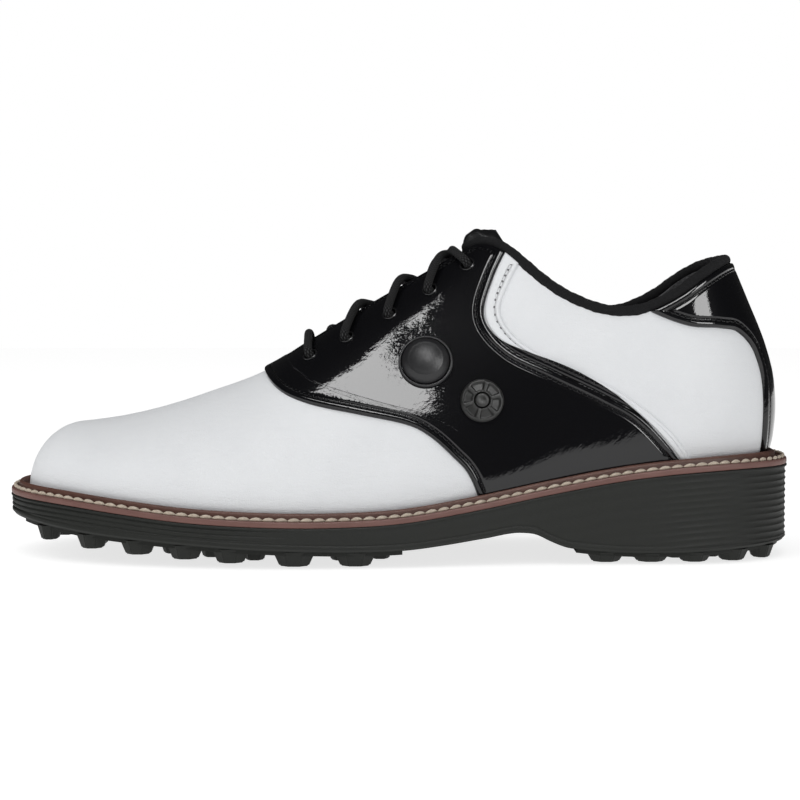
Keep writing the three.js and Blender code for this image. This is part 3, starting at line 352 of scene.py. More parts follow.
def tube(name, path, radius, sides):
    """A round cord along the path, with each vertex's distance along it and place round it.
    radius is one number or one for each path point."""
    path = np.asarray(path, float)
    n = len(path)
    radius = np.broadcast_to(np.asarray(radius, float), n)
    ahead = np.gradient(path, axis=0)
    ahead /= np.linalg.norm(ahead, axis=1, keepdims=True)
    up = np.empty_like(path)
    now = np.cross(ahead[0], (0.3, 0.2, 0.9))
    for k in range(n):
        now = now - ahead[k] * np.dot(now, ahead[k])
        now = now / np.linalg.norm(now)
        up[k] = now
    out = np.cross(ahead, up)
    piece, i, j = new_grid(n + 1, sides)
    k = np.clip(i - 1, 0, n - 1)
    angle = 2 * math.pi * (j % sides) / sides
    r = radius[k].copy()
    r[(i == 0) | (i == n + 1)] = 1e-4
    shape(piece, path[k] + up[k] * (np.cos(angle) * r)[:, None] + out[k] * (np.sin(angle) * r)[:, None])
    record_values(piece, along=walk(path)[k], ring_x=np.cos(angle), ring_y=np.sin(angle))
    tidy_mesh(piece, weld=1e-7, flip=True)
    piece.name = name
    return piece


def finish_piece(piece, name, material, body, *nodes, slot=None):
    """Names the piece, gives it its finish and ties it to the CAD."""
    piece.name = name
    piece.data.name = name
    piece.data.materials.clear()
    piece.data.materials.append(material)
    piece.data.polygons.foreach_set("use_smooth", [True] * len(piece.data.polygons))
    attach(piece, body)
    if nodes:
        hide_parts(*nodes)
    return piece


def calc(tree, operation, *values):
    """The output of a math node."""
    return node(tree, "Math", dict(enumerate(values)), operation=operation).outputs[0]


def remap(tree, value, low, high, to_low=0.0, to_high=1.0):
    """value from low..high to to_low..to_high with smooth ends."""
    feeds = {0: value, 1: low, 2: high, 3: to_low, 4: to_high}
    made = node(tree, "MapRange", feeds, interpolation_type="SMOOTHSTEP")
    return made.outputs[0]


def new_group(name, ins, outs):
    """A node group whose sockets are numbers; ins gives each one's usual value."""
    tree = bpy.data.node_groups.new(name, "ShaderNodeTree")
    for socket, value in ins.items():
        made = tree.interface.new_socket(socket, in_out="INPUT", socket_type="NodeSocketFloat")
        made.default_value = value
    for socket in outs:
        tree.interface.new_socket(socket, in_out="OUTPUT", socket_type="NodeSocketFloat")
    return tree, tree.nodes.new("NodeGroupInput").outputs, tree.nodes.new("NodeGroupOutput").inputs


def use(tree, group, feeds=None):
    """The outputs of a node group placed in a material."""
    return node(tree, "Group", feeds, node_tree=group).outputs


def read(tree, name):
    """A number stored on the piece's vertices."""
    return node(tree, "Attribute", attribute_name=name).outputs["Fac"]


def place(tree):
    return node(tree, "TexCoord").outputs["Object"]


def noise(tree, where, scale, detail=3.0, rough=0.55, stretch=None):
    if stretch:
        where = node(tree, "Mapping", {"Vector": where, "Scale": stretch}).outputs[0]
    feeds = {"Vector": where, "Scale": scale, "Detail": detail, "Roughness": rough}
    return node(tree, "TexNoise", feeds).outputs["Fac"]


def finish(name, base, rough, sheen=0.0, coat=0.0, coat_rough=0.03, specular=0.5, metal=0.0):
    """A material with its constants set; gives back its tree and its shader."""
    made = bpy.data.materials.new(name)
    made.use_nodes = True
    shader = made.node_tree.nodes["Principled BSDF"]
    constants = {"Base Color": (*base, 1), "Roughness": rough, "Metallic": metal, "Sheen Weight": sheen,
                 "Coat Weight": coat, "Coat Roughness": coat_rough, "Specular IOR Level": specular}
    for socket, value in constants.items():
        shader.inputs[socket].default_value = value
    return made, made.node_tree, shader


def relief(tree, shader, height, distance, coat=False):
    """Raises the surface by height, in units of distance, which is in millimetres."""
    bump = node(tree, "Bump", {"Height": height, "Distance": distance * MM, "Strength": 1.0}).outputs[0]
    tree.links.new(bump, shader.inputs["Normal"])
    if coat:
        tree.links.new(bump, shader.inputs["Coat Normal"])


def tint(tree, factor, dark_colour, light_colour):
    """A mix of two colours, each given as numbers or as another node's output."""
    colours = [c if isinstance(c, bpy.types.NodeSocket) else (*c, 1) for c in (dark_colour, light_colour)]
    return node(tree, "Mix", {0: factor, 6: colours[0], 7: colours[1]}, data_type="RGBA").outputs[2]


# Braided or woven yarn: Turns is how many yarns stand round the cord, Pitch their length on it.
weave, w_in, w_out = new_group("braid", {"Turns": 8, "Pitch": 2.2}, ("Height", "Tone"))
t = weave
spin = calc(t, "ARCTAN2", read(t, "ring_y"), read(t, "ring_x"))
run = calc(t, "MULTIPLY", calc(t, "DIVIDE", read(t, "along"), w_in["Pitch"]), 2 * math.pi)
round_part = calc(t, "MULTIPLY", spin, calc(t, "DIVIDE", w_in["Turns"], 2.0))
one_way = calc(t, "SINE", calc(t, "ADD", run, round_part))
other_way = calc(t, "SINE", calc(t, "SUBTRACT", run, round_part))
cross = calc(t, "ABSOLUTE", calc(t, "MULTIPLY", one_way, other_way))
fuzz = noise(t, place(t), 2600.0, 2.0)
t.links.new(calc(t, "ADD", calc(t, "POWER", cross, 0.5), calc(t, "MULTIPLY", fuzz, 0.5)), w_out["Height"])
t.links.new(calc(t, "ADD", calc(t, "MULTIPLY", cross, 0.7), calc(t, "MULTIPLY", fuzz, 0.6)), w_out["Tone"])


def textile(name, turns, pitch, dark_colour, light_colour, depth):
    made, tree, shader = finish(name, dark_colour, 0.85, sheen=0.02, specular=0.15)
    yarn = use(tree, weave, {"Turns": turns, "Pitch": pitch})
    fleck = remap(tree, yarn["Tone"], 0.45, 0.95)
    tree.links.new(tint(tree, fleck, dark_colour, light_colour), shader.inputs["Base Color"])
    relief(tree, shader, yarn["Height"], depth)
    return made


lace_braid = textile("lace braid", 8.0, 2.1, (0.002, 0.002, 0.0024), (0.050, 0.050, 0.052), 0.42)

# The facings' height over the last, the lining's depth under it, and the eyelets' side-view places.
LACE_R, OVER, LINING_IN = 1.4, 1.5, 3.4
EYELETS = [(-33.2, 76.2), (-19.3, 83.2), (-2.9, 92.3), (12.4, 101.6), (26.8, 111.2)]
SLOT_FRONT, SLOT_REAR, SLOT_NARROW, SLOT_WIDE = -43, 36, 4.2, 9
LACE_OVER, LACE_UNDER = OVER + LACE_R + 0.5, -(LINING_IN + LACE_R + 1.1)


def half_slot(x):
    """Half the width of the opening between the facings."""
    share = np.clip((x - SLOT_FRONT) / (SLOT_REAR - SLOT_FRONT), 0, 1)
    return SLOT_NARROW + (SLOT_WIDE - SLOT_NARROW) * share


def over_slot(u, y, height):
    """The (u, v, height) of a lace point that stands y from the opening's middle."""
    turn = math.acos(min(abs(y) / float(half_width(u)), 1))
    return u, math.copysign(1 - turn / (math.pi / 2), y), height


def at_eyelet(number, side, height):
    """The (u, v, height) of a lace point on an eyelet's axis."""
    u, v = on_side(*EYELETS[number], side)
    return float(u), float(v), height


def strand(side, first):
    """One half of the lace, from the bar at the first eyelets up to the last one and in under the
    facing. It starts at side's first eyelet; first says whether it is the upper at a crossing."""
    points = [at_eyelet(0, side, LACE_OVER), at_eyelet(0, side, OVER - 1), at_eyelet(0, side, LACE_UNDER)]
    for number in range(len(EYELETS) - 1):
        here, there = EYELETS[number][0], EYELETS[number + 1][0]
        if number:
            near = here + (there - here) * 0.3
            points += [at_eyelet(number, side, 0), at_eyelet(number, side, LACE_OVER + 0.4),
                       over_slot(near, side * (half_slot(near) + 0.6), LACE_OVER + 0.2)]
        else:
            points.append(over_slot(here + 3, side * (half_slot(here) + 1.6), LACE_UNDER))
        points.append(over_slot(here + (there - here) * 0.5, 0, (0.4, -2.7)[(number + first) % 2]))
        side = -side
        far = here + (there - here) * 0.72
        points += [over_slot(far, side * (half_slot(far) - 1.5 * LACE_R - 0.1), LACE_UNDER + 1.2),
                   over_slot(far, side * (half_slot(far) + 1.2), LACE_UNDER),
                   at_eyelet(number + 1, side, LACE_UNDER)]
    end, out = len(EYELETS) - 1, EYELETS[-1][0] - 4
    return points + [at_eyelet(end, side, 0), at_eyelet(end, side, LACE_OVER + 0.4),
                     over_slot(out, side * (half_slot(out) + 0.6), LACE_OVER + 0.8),
                     over_slot(out - 1, side * (half_slot(out) - 1.5 * LACE_R - 0.5), OVER - 2),
                     over_slot(out - 1.5, side * (half_slot(out) - LACE_R - 0.6), LACE_UNDER + 1),
                     over_slot(out - 2, side * (half_slot(out) + 2), LACE_UNDER)]


halves = [strand(-1, 0), strand(1, 1)]
first_x = EYELETS[0][0]
bar = [over_slot(first_x, y, LACE_OVER + rise) for y, rise in ((-8, 0.2), (0, 0.3), (8, 0.2))]
route = offset(*np.array(halves[0][::-1] + bar + halves[1]).T)
laced = tube("lace", even(spline(route, 14), 900), LACE_R + 0.22, 16)
finish_piece(laced, "lace", lace_braid, "shoe", "lace", slot="lace_black")

# ---------------- the lace's ends and their tips
# The same lace beyond the last eyelets: each end goes down the quarter's inside and lies on the
# footbed. Its tip is a hard black plastic sleeve crimped over the braid.


def moulded(name, dark_colour, light_colour, rough, grain, depth, specular=0.35):
    """A moulded or pressed stuff: faintly mottled, with a fine grain of a depth in millimetres."""
    made, tree, shader = finish(name, dark_colour, rough, specular=specular)
    where = place(tree)
    patches = noise(tree, where, 42.0, 4.0, 0.6)
    skin = noise(tree, where, grain, 3.0, 0.6)
    tree.links.new(tint(tree, patches, dark_colour, light_colour), shader.inputs["Base Color"])
    tree.links.new(remap(tree, patches, 0.3, 0.7, rough - 0.07, rough + 0.08), shader.inputs["Roughness"])
    relief(tree, shader, skin, depth)
    return made


gloss_plastic = moulded("lace tip", (0.008, 0.008, 0.009), (0.013, 0.013, 0.014), 0.2, 800.0, 0.05, 0.6)
TAIL_DOWN = [(0, 101), (0, 93), (0, 82), (0, 70), (0, 58), (1, 46)]
TAIL_FLAT = [(26, 26), (34, 22.5), (44, 20), (55, 18.6), (66, 18), (77, 17), (87, 15), (94, 11.5), (95, 7),
             (89, 4.6), (80, 4.4), (70, 4.8)]
TAIL_X = EYELETS[-1][0] - 6
TAIL_RISE, TIP_LONG, TIP_R = 8.1, 20, 1.55
for side_name, side in (("lateral", -1), ("medial", 1)):
    before, end = route[:2][::-1] if np.sign(route[0, 1] - AXIS_Y) == side else route[-2:]
    heading = (end - before) / np.linalg.norm(end - before)
    down = [over_slot(TAIL_X, side * 16, LACE_UNDER)]
    for x, z in TAIL_DOWN:
        u, v = on_side(TAIL_X + x, z, side)
        down.append((float(u), float(v), LACE_UNDER - 0.2))
    down = offset(*np.array(down).T)
    lying = [(x, side * y, float(feather(x)) + TAIL_RISE) for x, y in TAIL_FLAT]
    path = even(spline(np.concatenate([[end + heading * 0.35, end + heading * 2], down, lying]), 20), 420)
    tail = tube("lace_tail_" + side_name, path, LACE_R, 12)
    finish_piece(tail, "lace_tail_" + side_name, lace_braid, "shoe", "lace_tail_" + side_name,
                 slot="lace_black")
    end = path[-1]
    tip_x = end[0] - TIP_LONG
    tip_end = (tip_x, end[1] + side * 0.6, float(feather(tip_x)) + TAIL_RISE)
    tip_line = np.linspace(end + (-0.4, 0, 0), tip_end, 24)
    tip_r = TIP_R * np.sqrt(np.clip(1 - (np.abs(np.linspace(-1, 1, 24)) ** 12) * 0.6, 0, 1))
    tip = tube("aglet_" + side_name, tip_line, tip_r, 16)
    finish_piece(tip, "aglet_" + side_name, gloss_plastic, "shoe", "aglet_" + side_name, slot="aglet_black")

# ---------------- the vamp
# One piece of white tumbled leather over the toe and ball, lasted under the welt and lapped under
# the saddle's front edge.


def ease(t):
    """A smooth step from 0 to 1 as t goes from 0 to 1."""
    t = np.clip(t, 0, 1)
    return t * t * (3 - 2 * t)


def down_to_feather(line, side):
    """A side-view line as (u, v) from its top to the feather edge."""
    line = even(line, 500)
    above = line[:, 1] > feather(line[:, 0])
    line = line[above]
    u, v = on_side(line[:, 0], line[:, 1], side)
    end = u[-1] + (u[-1] - u[-2]) * 2
    return np.stack([np.append(u, end), np.append(v, side * 1.0)], -1)


# The fine pebble and soft creases of full-grain leather.
hide, h_in, h_out = new_group("hide", {"Fine": 1}, ("Height", "Tone"))
t = hide
where = place(t)
cells = node(t, "TexVoronoi", {"Vector": where, "Scale": 1100.0, "Randomness": 1.0},
             feature="DISTANCE_TO_EDGE")
pebble = calc(t, "MINIMUM", calc(t, "MULTIPLY", cells.outputs["Distance"], 3.0), 0.55)
crease_field = noise(t, where, 95.0, 4.0, 0.6, (0.28, 1.0, 1.6))
crease = calc(t, "POWER", calc(t, "ABSOLUTE", calc(t, "SUBTRACT", crease_field, 0.5)), 0.6)
swell = noise(t, where, 22.0, 2.0, 0.5, (0.6, 1.0, 1.3))
high = calc(t, "ADD", calc(t, "MULTIPLY", pebble, calc(t, "MULTIPLY", h_in["Fine"], 0.20)),
            calc(t, "MULTIPLY", crease, 0.75))
t.links.new(calc(t, "ADD", high, calc(t, "MULTIPLY", swell, 1.1)), h_out["Height"])
t.links.new(noise(t, where, 45.0, 3.0), h_out["Tone"])


def white_leather(name, row=None):
    """White leather; row, if given, is a stitch row's settings, and its needle holes are painted with shade.
    """
    made, tree, shader = finish(name, (0.80, 0.815, 0.83), 0.55, specular=0.4)
    skin = use(tree, hide)
    height = skin["Height"]
    colour = tint(tree, skin["Tone"], (0.77, 0.785, 0.805), (0.83, 0.845, 0.86))
    if row:
        sewn = use(tree, stitching, {"Edge": read(tree, "edge"), "Along": read(tree, "along"), **row})
        height = calc(tree, "ADD", height, calc(tree, "MULTIPLY", sewn["Height"], 2.2))
        # The needle holes are painted dark grey into the colour: painted shade inside the holes.
        colour = tint(tree, sewn["HoleShade"], colour, (0.20, 0.20, 0.21))
    tree.links.new(colour, shader.inputs["Base Color"])
    relief(tree, shader, height, 0.30)
    return made


leather = white_leather("white leather")
SADDLE_FRONT = spline([(-56, 74.5), (-46, 64.6), (-34.6, 59.6), (-15.4, 55.6), (2, 52), (11, 47.8), (20, 40),
                       (27, 31.5), (34, 12)])
VAMP_LAP = np.array([5, 7])
lines = [down_to_feather(SADDLE_FRONT + VAMP_LAP, side) for side in (-1, 1)]
v_steps = np.concatenate([-np.linspace(1, 0, 120), np.linspace(0, 1, 120)[1:]])
columns, rows = 230, len(v_steps) - 1
piece, i, j = new_grid(columns, rows)
v = v_steps[j]
ends = np.empty(len(v_steps))
for row, value in enumerate(v_steps):
    uv = lines[0] if value < 0 else lines[1]
    order = np.argsort(np.abs(uv[:, 1]))
    ends[row] = np.interp(abs(value), np.abs(uv[order, 1]), uv[order, 0])
u = TOE_X + (i / columns) ** 1.15 * (ends[j] - TOE_X)
points = last(u, v)
x, z = points[:, 0], points[:, 2]
ripple = 0.16 * np.sin(x * 0.21 + 0.5 * np.sin(z * 0.13)) * np.sin(z * 0.17)
shape(piece, points + last_normal(u, v) * (ripple * ease((x + 110) / 50))[:, None])
tidy_mesh(piece, weld=1e-6)
finish_piece(piece, "vamp", leather, "shoe", "vamp", slot="leather_white")

# ---------------- the saddles
# Patent leather from each side of the throat down to the welt, cut flat, skived, and stitched along
# its edge over the vamp and the quarter. It carries the facing's eyelets, and on the outer side the
# pump and the release valve stand in round holes through it.


def below_topline(uv):
    """The part of a (u, v) line, given from its top, that lies under the topline."""
    p = last(uv[:, 0], uv[:, 1])
    under = p[:, 2] < topline(p[:, 0]) - EDGE_DROP
    return uv[np.argmax(under):]


HALVINGS = 40


def reaching(u, side, above):
    """The v at which the last stands above the topline by that height, at each station."""
    low, high = np.full(len(u), 0.02), np.full(len(u), 1.0)
    for _ in range(HALVINGS):
        middle = (low + high) / 2
        p = last(u, side * middle)
        too_high = p[:, 2] > topline(p[:, 0]) + above
        low, high = np.where(too_high, middle, low), np.where(too_high, high, middle)
    return side * (low + high) / 2


def topline_uv(u_from, u_to, side, count):
    """The panels' top edge from one station to another."""
    u = np.linspace(u_from, u_to, count)
    return np.stack([u, reaching(u, side, -EDGE_DROP)], -1)


def feather_uv(u_from, u_to, side, count):
    """The panels' lower edge from one station to another."""
    return np.stack([np.linspace(u_from, u_to, count), np.full(count, side * 1.0)], -1)


def at_width(u, y, side):
    """The v at which the last stands y to one side."""
    low, high = np.zeros(len(u)), np.full(len(u), 0.97)
    for _ in range(HALVINGS):
        middle = (low + high) / 2
        too_far = side * last(u, side * np.maximum(middle, 1e-4))[:, 1] > y
        low, high = np.where(too_far, low, middle), np.where(too_far, middle, high)
    return side * np.maximum((low + high) / 2, 1e-4)


def resample(uv, count):
    """The (u, v) line in count even steps along the last."""
    far = walk(last(uv[:, 0], uv[:, 1]))
    far = far + np.arange(len(far)) * 1e-9
    at = np.linspace(0, far[-1], count)
    return np.stack([np.interp(at, far, uv[:, 0]), np.interp(at, far, uv[:, 1])], -1), far[-1]


# Grid lines close together where the leather rolls over at its edge, in millimetres from it.
ROLL = np.array([0, 0, 0.12, 0.3, 0.55, 0.9, 1.4, 2.0])


def knots(length, step):
    """Grid lines along a side of that length; the first and last are doubled for the turned edge."""
    if length < 2.4 * ROLL[-1]:
        scaled = ROLL * length / (2.4 * ROLL[-1])
        middle = np.linspace(scaled[-1], length - scaled[-1], 4)[1:-1]
        return np.concatenate([scaled, middle, (length - scaled)[::-1]]) / length
    count = max(int(round((length - 2 * ROLL[-1]) / step)), 2)
    middle = np.linspace(ROLL[-1], length - ROLL[-1], count + 1)[1:-1]
    return np.concatenate([ROLL, middle, (length - ROLL)[::-1]]) / length


def stretched(left, right, low, high, s, t):
    """(u, v) at (s, t) of the patch between four lines; left and right run upward."""
    def along(line, at):
        grid = np.linspace(0, 1, len(line))
        return np.stack([np.interp(at, grid, line[:, 0]), np.interp(at, grid, line[:, 1])], -1)
    s1, t1 = s[:, None], t[:, None]
    lines = (1 - t1) * along(low, s) + t1 * along(high, s) + (1 - s1) * along(left, t) + s1 * along(right, t)
    corners = ((1 - s1) * (1 - t1) * low[0] + s1 * (1 - t1) * low[-1]
               + (1 - s1) * t1 * high[0] + s1 * t1 * high[-1])
    return lines - corners


def edge_record(face, outline):
    """For each point of a panel's face: how far the outline lies, how far along it, and whether that
    side of it is sewn. outline holds (line, sewn) pairs."""
    tree = KDTree(sum(len(line) for line, _ in outline))
    far, threaded = [], []
    for line, is_sewn in outline:
        for point, run in zip(line, walk(line)):
            tree.insert(point, len(far))
            far.append(run)
            threaded.append(is_sewn)
    tree.balance()
    near = [tree.find(p)[1:] for p in face]
    edge = np.maximum(np.array([n[1] for n in near]) - 0.03, 0)
    return edge, np.array([far[n[0]] for n in near]), np.array([threaded[n[0]] for n in near])


LINE_POINTS, EDGE_POINTS = 600, 3000


def panel(left, right, low, high, side, height, roll=1.0, puff=0.0, step=0.75, turned=-1.6, skip="",
          holes=(), wave=0.0, sewn="left right high"):
    """A panel between four (u, v) lines. height is that of its face over the last and turned that
    of its turned-in edge; skip names the sides that run on under a neighbour and stay flat, and
    sewn those with a row of stitches. holes are side-view (x, z, radius)."""
    left, left_long = resample(left, LINE_POINTS)
    right, right_long = resample(right, LINE_POINTS)
    low, low_long = resample(low, LINE_POINTS)
    high, high_long = resample(high, LINE_POINTS)
    s_knots = knots((low_long + high_long) / 2, step)
    t_knots = knots((left_long + right_long) / 2, step)
    columns, rows = len(s_knots) - 1, len(t_knots) - 1
    piece, i, j = new_grid(columns, rows)
    uv = stretched(left, right, low, high, s_knots[i], t_knots[j])
    face = last(uv[:, 0], uv[:, 1])
    sides = {"left": left, "right": right, "low": low, "high": high}
    outline = [(even(last(line[:, 0], line[:, 1]), EDGE_POINTS), key in sewn.split())
               for key, line in sides.items() if key not in skip.split()]
    edge, along, has_thread = edge_record(face, outline)
    r = np.clip(edge / roll, 0, 1)
    level = 0.05 + (height - 0.05) * np.sqrt(np.clip(1 - (1 - r) ** 2, 0, 1))
    level = level + puff * np.sin(math.pi * np.clip(edge / 3.0, 0, 1))
    level = level - puff * 0.8 * np.exp(-((edge - 3.1) / 0.7) ** 2)
    level = level + wave * np.sin(face[:, 0] * 0.11) * np.sin(face[:, 2] * 0.16 + 1)
    rim = (i == 0) | (i == columns) | (j == 0) | (j == rows)
    shape(piece, offset(uv[:, 0], uv[:, 1], np.where(rim, turned, level)))
    record_values(piece, edge=np.where(has_thread, edge, UNSEWN), along=along)
    spots = [(Vector(offset(*[np.array([a]) for a in on_side(x, z, side)], np.array([height]))[0]) * MM,
              reach * MM) for x, z, reach in holes]

    def in_hole(f):
        at = f.calc_center_median()
        return any((at - centre).length < reach for centre, reach in spots)

    tidy_mesh(piece, drop=in_hole if holes else None, flip=side > 0)
    return piece


# A row of stitches: Row is how far it lies from the piece's edge, in millimetres. A side of a panel
# without stitches records an edge distance of UNSEWN, beyond any row.
UNSEWN = 50
stitching, s_in, s_out = new_group(
    "stitch row", {"Edge": 0, "Along": 0, "Row": 3, "Pitch": 2.3, "Width": 0.5}, ("Height", "Thread", "HoleShade"))
t = stitching
from_row = calc(t, "ABSOLUTE", calc(t, "SUBTRACT", s_in["Edge"], s_in["Row"]))
beside_row = calc(t, "DIVIDE", from_row, s_in["Width"])
phase = calc(t, "FRACT", calc(t, "DIVIDE", s_in["Along"], s_in["Pitch"]))
from_middle = calc(t, "ABSOLUTE", calc(t, "SUBTRACT", phase, 0.5))
thread = calc(t, "MULTIPLY", remap(t, from_middle, 0.46, 0.32), remap(t, beside_row, 1.0, 0.45))
# The needle-hole mask dips the surface and, as the group's hole output, darkens the colour: painted shade
# inside the holes.
hole = calc(t, "MULTIPLY", remap(t, from_middle, 0.32, 0.42), remap(t, beside_row, 1.1, 0.6))
groove = remap(t, beside_row, 2.4, 0.2)
t.links.new(calc(t, "SUBTRACT", calc(t, "MULTIPLY", thread, 1.2), calc(t, "ADD", groove, hole)),
            s_out["Height"])
t.links.new(thread, s_out["Thread"])
t.links.new(hole, s_out["HoleShade"])

# Patent leather: black under a clear, slightly uneven lacquer that reflects sharply.
patent, tree, shader = finish("patent leather", (0.004, 0.004, 0.005), 0.35, coat=1.0, coat_rough=0.035,
                              specular=0.03)
where = place(tree)
slant = node(tree, "Mapping", {"Vector": where, "Rotation": (0, math.radians(50), 0)}).outputs[0]
slow = noise(tree, where, 28.0, 2.0, 0.5, (1.0, 1.0, 1.0))
fine = noise(tree, slant, 620.0, 3.0, 0.6, (0.38, 1.0, 1.0))
row = use(tree, stitching, {"Edge": read(tree, "edge"), "Along": read(tree, "along"),
                            "Row": 2.9, "Pitch": 2.1, "Width": 0.55})
height = calc(tree, "ADD", calc(tree, "MULTIPLY", slow, 0.8), calc(tree, "MULTIPLY", fine, 0.13))
height = calc(tree, "ADD", height, calc(tree, "MULTIPLY", row["Height"], 0.85))
tree.links.new(calc(tree, "SUBTRACT", 1.0, calc(tree, "MULTIPLY", row["Thread"], 0.75)),
               shader.inputs["Coat Weight"])
relief(tree, shader, height, 0.42, coat=True)

SADDLE_REAR = spline([(45, 124), (36.3, 107), (32.6, 91.5), (41.5, 79.8), (58, 71.5), (77, 62.5), (92, 53.5),
                      (107, 36), (117, 12)])
topline = profile([
    (16, 118), (26, 119.4), (31.7, 121), (36, 120.6), (41, 118), (46.4, 113.4), (53.7, 106.8), (61, 101.5),
    (68.4, 97.7), (76, 95), (83.3, 94), (90.8, 94.6), (98.3, 97.3), (106, 101.5), (114, 107.2), (124, 112.8),
    (130, 114.4), (160, 114.4)])
EDGE_DROP = 1.6
PUMP_AT, VALVE_AT = (10.3, 74.4), (31.2, 60.2)
EYELET_HOLE, PUMP_HOLE, VALVE_HOLE = 2.55, 9.4, 7.2
for side_name, side in (("lateral", -1), ("medial", 1)):
    front = down_to_feather(SADDLE_FRONT, side)
    rear = below_topline(down_to_feather(SADDLE_REAR, side))
    front = front[max(np.argmax(last(front[:, 0], front[:, 1])[:, 1] * side > 0.25), 0):]
    front = front[np.abs(front[:, 1]) > 0.012]
    seam_u = np.linspace(front[0, 0], SLOT_FRONT, 40)
    seam = np.stack([seam_u, at_width(seam_u, 0.2, side)], -1)
    facing_u = np.concatenate([[SLOT_FRONT, SLOT_FRONT + 0.3, SLOT_FRONT + 1],
                               np.linspace(SLOT_FRONT + 2, 37, 160)])
    facing_y = np.concatenate([[1.2, 2.8, 3.8], half_slot(facing_u[3:])])
    facing = np.stack([facing_u, at_width(facing_u, facing_y, side)], -1)
    top = last(facing[:, 0], facing[:, 1])
    under = top[:, 2] < topline(top[:, 0]) - EDGE_DROP
    facing = facing[:len(under) - np.argmax(under[::-1])]
    collar = topline_uv(facing[-1, 0], rear[0, 0], side, 60)
    upper = np.concatenate([front[:1], seam, facing, collar[1:-1], rear[:1]])
    lower = feather_uv(front[-1, 0], rear[-1, 0], side, 200)
    holes = [(x, z, EYELET_HOLE) for x, z in EYELETS]
    if side < 0:
        holes += [(*PUMP_AT, PUMP_HOLE), (*VALVE_AT, VALVE_HOLE)]
    saddle = panel(front[::-1], rear[::-1], lower, upper, side, OVER, puff=0.09, holes=holes, wave=0.10)
    finish_piece(saddle, "saddle_" + side_name, patent, "shoe", "saddle_" + side_name, slot="patent_black")

# ---------------- the bands
# A narrow strip of the white leather along each saddle's rear edge, its free side sewn down to the
# quarter with a row whose needle holes show as painted shade.
leather_band = white_leather("white leather band", {"Row": 2.3, "Pitch": 2.5, "Width": 0.48})
BAND_REAR = spline([(53, 124), (42.3, 105), (38.8, 92.5), (48, 81), (67.4, 71.5), (86.4, 61.6), (106.4, 43.9),
                    (122, 12)])
for side_name, side in (("lateral", -1), ("medial", 1)):
    band_front = below_topline(down_to_feather(SADDLE_REAR + np.array([0.35, 0.15]), side))
    band_rear = below_topline(down_to_feather(BAND_REAR, side))
    collar = topline_uv(band_front[0, 0], band_rear[0, 0], side, 40)
    lower = feather_uv(band_front[-1, 0], band_rear[-1, 0], side, 40)
    band = panel(band_front[::-1], band_rear[::-1], lower, collar, side, 1.15, roll=0.9, puff=0.04, step=0.6,
                 sewn="right")
    finish_piece(band, "quarter_band_" + side_name, leather_band, "shoe", "quarter_band_" + side_name,
                 slot="leather_white")

# ---------------- the quarters
# White leather round each side of the heel, its front under the band and its back seam under the
# heel patch.


def back_seam(side):
    """The line down the middle of the heel, from the topline to the feather edge."""
    top_v = topline_uv(BACK_X - 0.01, BACK_X, side, 2)[-1, 1]
    return np.stack([np.full(100, BACK_X), np.linspace(top_v, side * 1.0, 100)], -1)


for side_name, side in (("lateral", -1), ("medial", 1)):
    quarter_front = below_topline(down_to_feather(SADDLE_REAR + np.array([-4, -4]), side))
    collar = topline_uv(quarter_front[0, 0], BACK_X, side, 400)
    lower = feather_uv(quarter_front[-1, 0], BACK_X, side, 200)
    quarter = panel(quarter_front[::-1], back_seam(side)[::-1], lower, collar, side, 0.0, step=1.0,
                    turned=-1.1, skip="right low", wave=0.08)
    finish_piece(quarter, "quarter_" + side_name, leather, "shoe", "quarter_" + side_name,
                 slot="leather_white")

# ---------------- the heel patch
# Patent leather over the back seam, wide at the collar and a narrow strip from there to the welt.
# Its two halves meet at the seam and are one piece.


def joined(pieces):
    """The pieces made one, on the first of them."""
    bpy.ops.object.select_all(action="DESELECT")
    for piece in pieces:
        piece.select_set(True)
    bpy.context.view_layer.objects.active = pieces[0]
    bpy.ops.object.join()
    return bpy.context.object


PATCH_EDGE = spline([(88, 99), (95.5, 93.5), (109, 88.5), (121, 87.6), (129, 85.8), (136.6, 76.8),
                     (139.9, 58.3), (137.5, 12)])
halves = []
for side in (-1, 1):
    patch_front = below_topline(down_to_feather(PATCH_EDGE, side))
    collar = topline_uv(patch_front[0, 0], BACK_X, side, 100)
    lower = feather_uv(patch_front[-1, 0], BACK_X, side, 50)
    halves.append(panel(patch_front[::-1], back_seam(side)[::-1], lower, collar, side, OVER, puff=0.14,
                        step=0.6, skip="right"))
patch = joined(halves)
tidy_mesh(patch, weld=2e-5)
finish_piece(patch, "heel_patch", patent, "shoe", "heel_patch", slot="patent_black")

# ---------------- the collar binding
# A knitted tape folded over the top edge, from one facing's top corner round the heel to the
# other's. It is stitched through the quarter and the lining.
binding_knit = textile("binding knit", 24.0, 1.3, (0.004, 0.004, 0.0045), (0.026, 0.026, 0.028), 0.16)
TAPE_R, TAPE_STATIONS = 2.15, 620
u = np.concatenate([np.linspace(26, HEEL_X, 110), np.linspace(HEEL_X, BACK_X, 50)[1:]])
outer, inner = [offset(u, reaching(u, side, 0.1), np.full(len(u), -0.9)) for side in (-1, 1)]
ring_path = even(np.concatenate([outer, inner[::-1][1:]]), TAPE_STATIONS)
station = np.arange(TAPE_STATIONS)
wobble = TAPE_R + 0.07 * np.sin(station * 0.37) + 0.05 * np.sin(station * 0.91)
tape = tube("collar_binding", ring_path, wobble, 28)
finish_piece(tape, "collar_binding", binding_knit, "shoe", "collar_binding", slot="textile_black")

# ---------------- the quarter lining
# Black knit mesh inside the quarters, turned up to the binding and swelling over the collar's foam.
# The same knit backs the tongue and covers the footbed.


def collar_pad(u, v):
    """How far the padding under the topline swells inward."""
    p = last(u, v)
    down = np.clip((topline(p[:, 0]) - p[:, 2]) / 18, 0, 1)
    return 3.5 * np.clip((p[:, 0] - 34) / 12, 0, 1) * np.sin(math.pi * (1 - down) ** 0.7 * 0.8)


